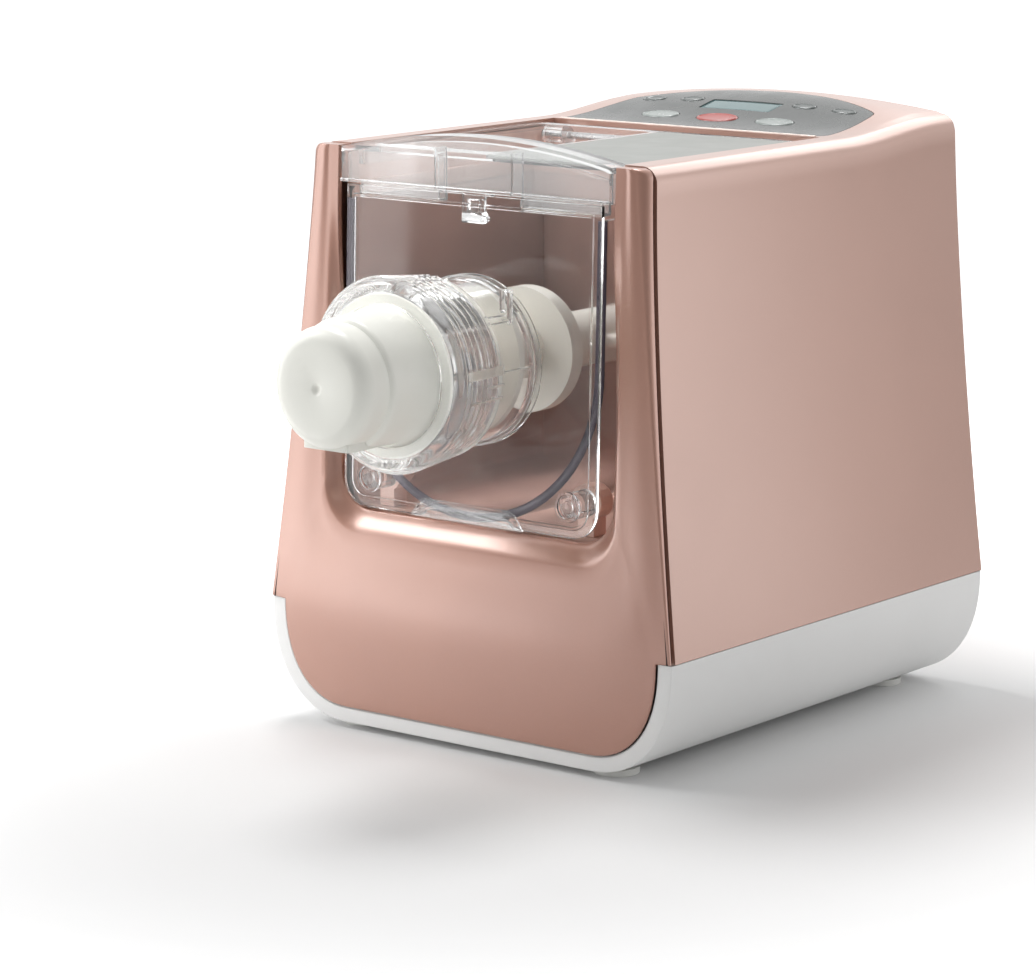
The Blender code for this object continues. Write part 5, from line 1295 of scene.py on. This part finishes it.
# What is cut out of the lid: band and skirt from inside, filling opening, plate's seat and pin hole
def lidCuts():
    d = lid
    inner = d["half"] - d["wall"]
    skirtLow = d["top"] - d["wall"] - d["skirt"]
    bandEnd = d["front"] + d["band"]
    low, high = plateBox()
    below = d["bottom"] - d["over"]
    outline = [(inner, below)] + lidArch(d["wall"], d["wall"]) + [(-inner, below)]
    return [slabPiece("hollow", outline, 1, d["front"] + d["wall"], bandEnd - d["wall"]),
            blockPiece("under", (-inner, bandEnd, skirtLow - d["over"]),
                       (inner, d["rear"] - d["wall"], d["top"] - d["wall"]), d["underCorner"], 2, 3),
            blockPiece("fill", (-d["half"] + d["fillMargin"], d["fillFront"], skirtLow - d["fillLow"]),
                       (d["fillInner"], d["rear"] - d["fillMargin"], d["top"] + d["over"]), d["fillCorner"], 2),
            blockPiece("seat", (low[0] - clear, low[1] - clear * 0.6, d["top"] - d["plateThick"] - clear),
                       (high[0] + clear, high[1] + clear, d["top"] + d["over"])),
            barTool(d["pin"], (0.0, *casing["hinge"]))]


# What is added to the hollow band: two ribs, a ledge, a step line and the pockets
def lidRibs():
    d = lid
    back = d["front"] + d["band"] - d["wall"]
    tools = [blockPiece("rib", (x - d["ribHalf"], d["front"] + d["wall"] - d["ribLap"], d["bottom"] + d["ribLift"]),
                        (x + d["ribHalf"], back + d["ribLap"], d["top"] + d["ribOver"])) for x in d["ribs"]]
    tools.append(blockPiece("ledge", (-d["half"] + d["ledgeInset"], d["front"] + d["ledge"][0], d["bottom"]),
                            (d["half"] - d["ledgeInset"], d["front"] + d["ledge"][1], d["bottom"] + d["ledgeTall"]),
                            d["edge"], 0, 2))
    crest = lidArch(d["stepInset"], 0.0)
    outline = [(x, z - d["step"][0]) for x, z in crest] + [(x, z - d["step"][1]) for x, z in reversed(crest)]
    tools.append(slabPiece("step", outline, 1, d["front"] - d["stepHalf"], d["front"] + d["stepHalf"]))
    return tools + [blockPiece("box", low, high, pockets["corner"], 1, 4) for low, high in pockets["boxes"]]


def makeLid():
    d = lid
    outline = [(d["half"], d["bottom"])] + lidArch(0.0, 0.0) + [(-d["half"], d["bottom"])]
    piece = slabPiece("lidForm", outline, 1, d["front"], d["front"] + d["band"])
    deck = blockPiece("deck", (-d["half"], d["front"] + d["deckLap"], d["top"] - d["wall"] - d["skirt"]),
                      (d["half"], d["rear"], d["top"]), d["deckCorner"], 2, 4)
    combine(piece, [deck] + lidKnuckles(), "UNION")
    for cut in lidCuts():
        combine(piece, [cut])
    combine(piece, lidRibs(), "UNION")
    combine(piece, [blockPiece("room", low, high, pockets["roomCorner"], 1, 3) for low, high in pockets["rooms"]])
    finishPiece(piece, "lid", "clear_plastic", lidFinish, ("lid_frame",), edge=d["edge"], angle=50)


def makeLidPlate():
    low, high = plateBox()
    piece = blockPiece("silverCover", (*low, lid["top"] - lid["plateThick"]), (*high, lid["top"]),
                       lid["plateCorner"], 2, 3)
    finishPiece(piece, "lid", "silver_plate", foilFinish, ("lid_plate",), edge=lid["plateEdge"], segments=2,
                angle=50)


latch = {"half": 0.0058, "offset": -0.0023, "drop": 0.0137, "thick": 0.0032, "hook": 0.0025, "gap": 0.0017,
         "tipSide": (-0.001, 0.0026), "tipDeep": 0.003, "tipTall": (0.001, 0.0034), "corner": 0.0008,
         "bar": (-0.0212, 0.0078), "barTall": 0.0012, "barCorner": 0.0005, "slot": 0.0034,
         "slotDeep": (0.0010, 0.02), "slotInset": (0.0045, 0.0030), "edge": 0.0003}


def makeLatch():
    h = latch
    back = plateRear(lid["bottom"]) + h["gap"]
    deep = back + h["thick"]
    top = lid["bottom"] - clear
    low = top - h["drop"]
    side = h["offset"] + h["half"]
    outline = [(back, top), (back, low), (deep, low), (deep + h["hook"], low + h["hook"]),
               (deep, low + h["hook"] * 2), (deep, top)]
    piece = slabPiece("latchHook", outline, 0, h["offset"] - h["half"], side)
    tip = blockPiece("tip", (side + h["tipSide"][0], back, low + h["tipTall"][0]),
                     (side + h["tipSide"][1], back + h["tipDeep"], low + h["tipTall"][1]), h["corner"], None, 3)
    bar = blockPiece("bar", (h["bar"][0], back, top - h["barTall"]), (h["bar"][1], deep, top), h["barCorner"], 0, 2)
    combine(piece, [tip, bar], "UNION")
    slot = blockPiece("slot", (h["offset"] - h["slot"], back + h["slotDeep"][0], low + h["slotInset"][0]),
                      (h["offset"] + h["slot"], back + h["slotDeep"][1], top - h["slotInset"][1]), h["corner"],
                      None, 2)
    combine(piece, [slot])
    finishPiece(piece, "lid", "clear_plastic", clearFinish, ("lid_latch",), edge=h["edge"], segments=2, angle=50)


makeLid()
makeLidPlate()
makeLatch()
print("lid made")


# Control panel, buttons and display

startKey = {"size": (0.0115, 0.0062), "finish": redFinish, "slot": "red_button"}
largeKey = {"size": (0.0105, 0.0055), "finish": paleKey, "slot": "white_casing"}
smallKey = {"size": (0.0066, 0.0036), "finish": greyKey, "slot": "grey_plastic"}

keys = {
    "button_start": {"place": (0.0, 0.192), **startKey},
    "button_right": {"place": (0.0335, 0.192), **largeKey},
    "button_left": {"place": (-0.0335, 0.192), **largeKey},
    "button_small_right_1": {"place": (0.033, 0.218), **smallKey},
    "button_small_left_1": {"place": (-0.033, 0.218), **smallKey},
    "button_small_right_2": {"place": (0.056, 0.218), **smallKey},
    "button_small_left_2": {"place": (-0.056, 0.218), **smallKey},
}

# Rise and dip are insets and the share of proud or dish that each one takes
keyShape = {"proud": 0.0005, "deep": 0.0070, "dish": 0.00035, "rise": ((0.0004, 0.8), (0.0004, 0.2)),
            "dip": ((0.0003, 0.7), (0.0006, 0.3)), "domed": 0.0005}
display = {"half": 0.0205, "place": 0.212, "halfDeep": 0.0065, "drop": 0.0003, "thick": 0.0016, "corner": 0.001}


# A sheet that follows the casing's domed top
def topSheet(name, half, front, rear, columns, rows, drop, thick):
    bm = bmesh.new()

    def spot(column, row):
        x = mixed(-half, half, column / columns)
        y = mixed(front, rear, row / rows)
        return x, y, casingTop(x, y) - drop

    loft(bm, columns, rows, spot)
    faceOut(bm, panel["inside"])
    piece = rawPiece(name, bm)
    addWall(piece, thick)
    return piece


def makePanel():
    p, d = panel, display
    low, high = p["cut"]
    piece = topSheet("panelPane", p["sheetHalf"], p["sheetFront"], p["sheetRear"], 60, 44, 0.0, p["thick"])
    applyAll(piece)
    combine(piece, [slabPiece("form", panelOutline(0.0), 2, low, high)], "INTERSECT")
    tools = []
    for key in keys.values():
        size = (key["size"][0] + clear, key["size"][1] + clear)
        tools.append(slabPiece("hole", ovalOutline(key["place"], size), 2, low, high))
    tools.append(blockPiece("window", (-d["half"] - clear, d["place"] - d["halfDeep"] - clear, low),
                            (d["half"] + clear, d["place"] + d["halfDeep"] + clear, high), d["corner"], 2, 3))
    combine(piece, tools)
    finishPiece(piece, "casing", "panel_glass", panelFinish, ("panel_glass",))


# Oval buttons with a rounded rim and a shallow dish
def makeKeys():
    k = keyShape
    insets = [(width, k["proud"] * share) for width, share in k["rise"]]
    insets += [(width, -k["dish"] * share) for width, share in k["dip"]]
    for name, key in keys.items():
        level = casingTop(*key["place"])
        bm = bmesh.new()
        slab(bm, ovalOutline(key["place"], key["size"]), 2, level - k["deep"], level)
        crown = [face for face in bm.faces if face.normal.z > 0.9]
        for width, depth in insets:
            bmesh.ops.inset_region(bm, faces=crown, thickness=width, depth=depth, use_even_offset=True)
        for vert in bm.verts:
            if vert.co.z > level - k["domed"]:
                vert.co.z += casingTop(vert.co.x, vert.co.y) - level
        piece = rawPiece(name.replace("button", "key"), bm)
        finishPiece(piece, name + "_body", key["slot"], key["finish"], (name,), angle=50)


def makeDisplay():
    d = display
    piece = topSheet("displayPane", d["half"], d["place"] - d["halfDeep"], d["place"] + d["halfDeep"], 20, 8,
                     d["drop"], d["thick"])
    finishPiece(piece, "casing", "display", displayFinish, ("display_window",))


lip = {"half": 0.0745, "front": 0.16555, "rear": 0.16675, "low": 0.2722, "high": 0.27335, "corner": 0.0004}


# Rounded lip between the lid's niche and the panel, in a lighter copy of the rose paint that is a painted highlight
def makeLip():
    t = lip
    piece = blockPiece("panelLip", (-t["half"], t["front"], t["low"]), (t["half"], t["rear"], t["high"]),
                       t["corner"], 0, 4)
    finishPiece(piece, "casing", "rose_metal", trimHighlightFinish)


makePanel()
makeKeys()
makeDisplay()
makeLip()
print("panel made")


# Rear wall, screws, inlet and feet

rear = {"thick": 0.0025, "over": 0.01, "vents": 6, "ventPitch": 0.009, "ventHalf": 0.028, "ventTall": 0.004,
        "ventZ": 0.087, "edge": 0.0004}

inlet = {"x": -0.066, "z": 0.078, "half": 0.0135, "tall": 0.010, "deep": 0.016, "corner": 0.0012,
         "mouthCorner": 0.0015, "wall": 0.002, "roomDeep": 0.010, "roomCorner": 0.003, "edge": 0.0003,
         "pins": {"Left": (-0.006, -0.0015), "Right": (0.006, -0.0015), "Middle": (0.0, 0.003)},
         "pinHalf": 0.0010, "pinTall": 0.0020, "pinY": (0.0105, 0.0025), "pinCorner": 0.0004}

screws = {"x": 0.087, "heights": {"low": 0.072, "high": 0.240}, "head": 0.0035, "headSoft": 0.0005,
          "headFlat": 0.4, "bore": 0.0018, "boreDeep": 0.0015, "base": 0.0022, "lift": 0.00125, "shank": 0.008,
          "shankRadius": (0.0013, 0.0015), "rim": 0.0001, "crossHalf": 0.0020, "crossThin": 0.0004,
          "crossDeep": 0.0006, "crossOver": 0.002}


def rearOutline():
    c = casing
    gap = c["wall"] + clear
    right = []
    for i in range(25):
        z = mixed(c["seamZ"] + clear, c["topZ"] - c["corner"], i / 24)
        lift = c["rearRise"] * easeShare(z, c["seamZ"], c["topZ"] - c["corner"])
        right.append((halfWidth(z) - gap, z + lift))
    centre = (c["topHalf"] - c["corner"], c["topZ"] + c["rearRise"] - c["corner"])
    right += arcPoints(centre, c["corner"] - gap, 12, 90, 8)
    right += [(centre[0] * (1 - i / 12), casingTop(centre[0] * (1 - i / 12), c["depth"]) - gap)
              for i in range(1, 13)]
    return right + [(-x, z) for x, z in reversed(right[:-1])]


def makeRear():
    r, n, s = rear, inlet, screws
    depth = casing["depth"]
    front, back = depth - r["thick"] - r["over"], depth + r["over"]
    piece = slabPiece("rearWall", rearOutline(), 1, depth - r["thick"], depth)
    tools = []
    for i in range(r["vents"]):
        z = r["ventZ"] + r["ventPitch"] * (i - (r["vents"] - 1) / 2)
        outline = roundedOutline((-r["ventHalf"], z - r["ventTall"] / 2), (r["ventHalf"], z + r["ventTall"] / 2),
                                 r["ventTall"] * 0.499, 8)
        tools.append(slabPiece("vent", outline, 1, front, back))
    tools.append(blockPiece("mouth", (n["x"] - n["half"] - clear, front, n["z"] - n["tall"] - clear),
                            (n["x"] + n["half"] + clear, back, n["z"] + n["tall"] + clear), n["mouthCorner"], 1, 4))
    seat, head = depth - s["boreDeep"], s["head"] + clear
    profile = [(front, 0.0), (front, s["bore"]), (seat, s["bore"]), (seat, head), (back, head), (back, 0.0)]
    for x in (s["x"], -s["x"]):
        for z in s["heights"].values():
            tools.append(turnedPiece("sink", profile, z, 32, x, closed=False))
    combine(piece, tools)
    finishPiece(piece, "casing", "rose_metal", roseFinish, ("rear_panel",), edge=r["edge"], segments=2, angle=50)


def makeScrews():
    s = screws
    depth = casing["depth"]
    seat = depth - s["base"] + s["lift"]
    profile = [(seat - s["shank"], 0.0), (seat - s["shank"], s["shankRadius"][0]), (seat, s["shankRadius"][1]),
               (seat, s["head"]), (depth - s["headSoft"], s["head"]), (depth - s["rim"], s["head"] - s["headSoft"]),
               (depth, s["head"] * s["headFlat"]), (depth, 0.0)]
    for side, x in (("right", s["x"]), ("left", -s["x"])):
        for height, z in s["heights"].items():
            piece = turnedPiece("screw_%s_%s" % (height, side), profile, z, 40, x, closed=False)
            cross = [blockPiece("cross", (x - wide, depth - s["crossDeep"], z - tall),
                                (x + wide, depth + s["crossOver"], z + tall))
                     for wide, tall in ((s["crossHalf"], s["crossThin"]), (s["crossThin"], s["crossHalf"]))]
            combine(piece, cross)
            finishPiece(piece, "casing", "steel", steelFinish, ("rear_screw_%s_%s" % (height, side),), angle=35)


def makeInlet():
    n = inlet
    depth = casing["depth"]
    low = (n["x"] - n["half"], depth - n["deep"], n["z"] - n["tall"])
    high = (n["x"] + n["half"], depth, n["z"] + n["tall"])
    piece = blockPiece("inletSocket", low, high, n["corner"], 1, 4)
    room = blockPiece("room", (low[0] + n["wall"], depth - n["roomDeep"], low[2] + n["wall"]),
                      (high[0] - n["wall"], depth + rear["over"], high[2] - n["wall"]), n["roomCorner"], 1)
    combine(piece, [room])
    finishPiece(piece, "casing", "dark_plastic", darkFinish, ("power_inlet",), edge=n["edge"], segments=2, angle=50)
    for label, (dx, dz) in n["pins"].items():
        pin = blockPiece("inletPin" + label,
                         (n["x"] + dx - n["pinHalf"], depth - n["pinY"][0], n["z"] + dz - n["pinTall"]),
                         (n["x"] + dx + n["pinHalf"], depth - n["pinY"][1], n["z"] + dz + n["pinTall"]),
                         n["pinCorner"], None, 2)
        finishPiece(pin, "casing", "steel", steelFinish)


foot = {"radius": 0.0105, "tall": 0.003, "rim": ((0.0016, 0.0), (0.0004, -0.0005)), "edge": 0.0006, "places": {
    "foot_front_right": (0.0735, 0.0155), "foot_front_left": (-0.0735, 0.0155),
    "foot_rear_right": (0.0735, 0.2305), "foot_rear_left": (-0.0735, 0.2305)}}


def makeFeet():
    for name, (x, y) in foot["places"].items():
        bm = bmesh.new()
        bmesh.ops.create_circle(bm, cap_ends=True, segments=48, radius=foot["radius"])
        pushOut(bm, bm.faces[:], (0.0, 0.0, foot["tall"]))
        under = [face for face in bm.faces if face.normal.z < -0.9]
        for width, depth in foot["rim"]:
            bmesh.ops.inset_region(bm, faces=under, thickness=width, depth=depth)
        bmesh.ops.translate(bm, verts=bm.verts, vec=(x, y, 0.0))
        piece = rawPiece(name.replace("foot", "pad"), bm)
        finishPiece(piece, "casing", "foot_pad", padFinish, (name,), edge=foot["edge"], angle=50)


makeRear()
makeScrews()
makeInlet()
makeFeet()
print("rear and feet made")


# The frame's own pieces that stay get these finishes

kept = {
    "support_rib_right": greyFinish, "support_rib_left": greyFinish, "plate_peg_right": clearFinish,
    "plate_peg_left": clearFinish, "peg_socket_right": linerFinish, "peg_socket_left": linerFinish,
    "shaft_seal": rubberFinish, "front_bearing": steelFinish, "rear_bearing": steelFinish,
    "output_gear": nylonFinish, "middle_gear": nylonFinish, "middle_axle": steelFinish,
    "motor_pinion": nylonFinish, "gear_case": greyFinish, "gear_case_cover": greyFinish,
    "motor_body": motorFinish, "motor_shaft": steelFinish, "cooling_fan": darkFinish,
    "motor_cradle": motorFinish, "hinge_pin": steelFinish, "lid_magnet": steelFinish,
    "lid_switch": darkFinish, "panel_carrier": greyFinish, "control_board": boardFinish,
    "power_board": boardFinish, "drive_shaft": steelFinish,
}


def dressKept():
    for name, material in kept.items():
        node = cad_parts[name]
        node.data.materials.clear()
        node.data.materials.append(material)


dressKept()
print("kept pieces dressed")
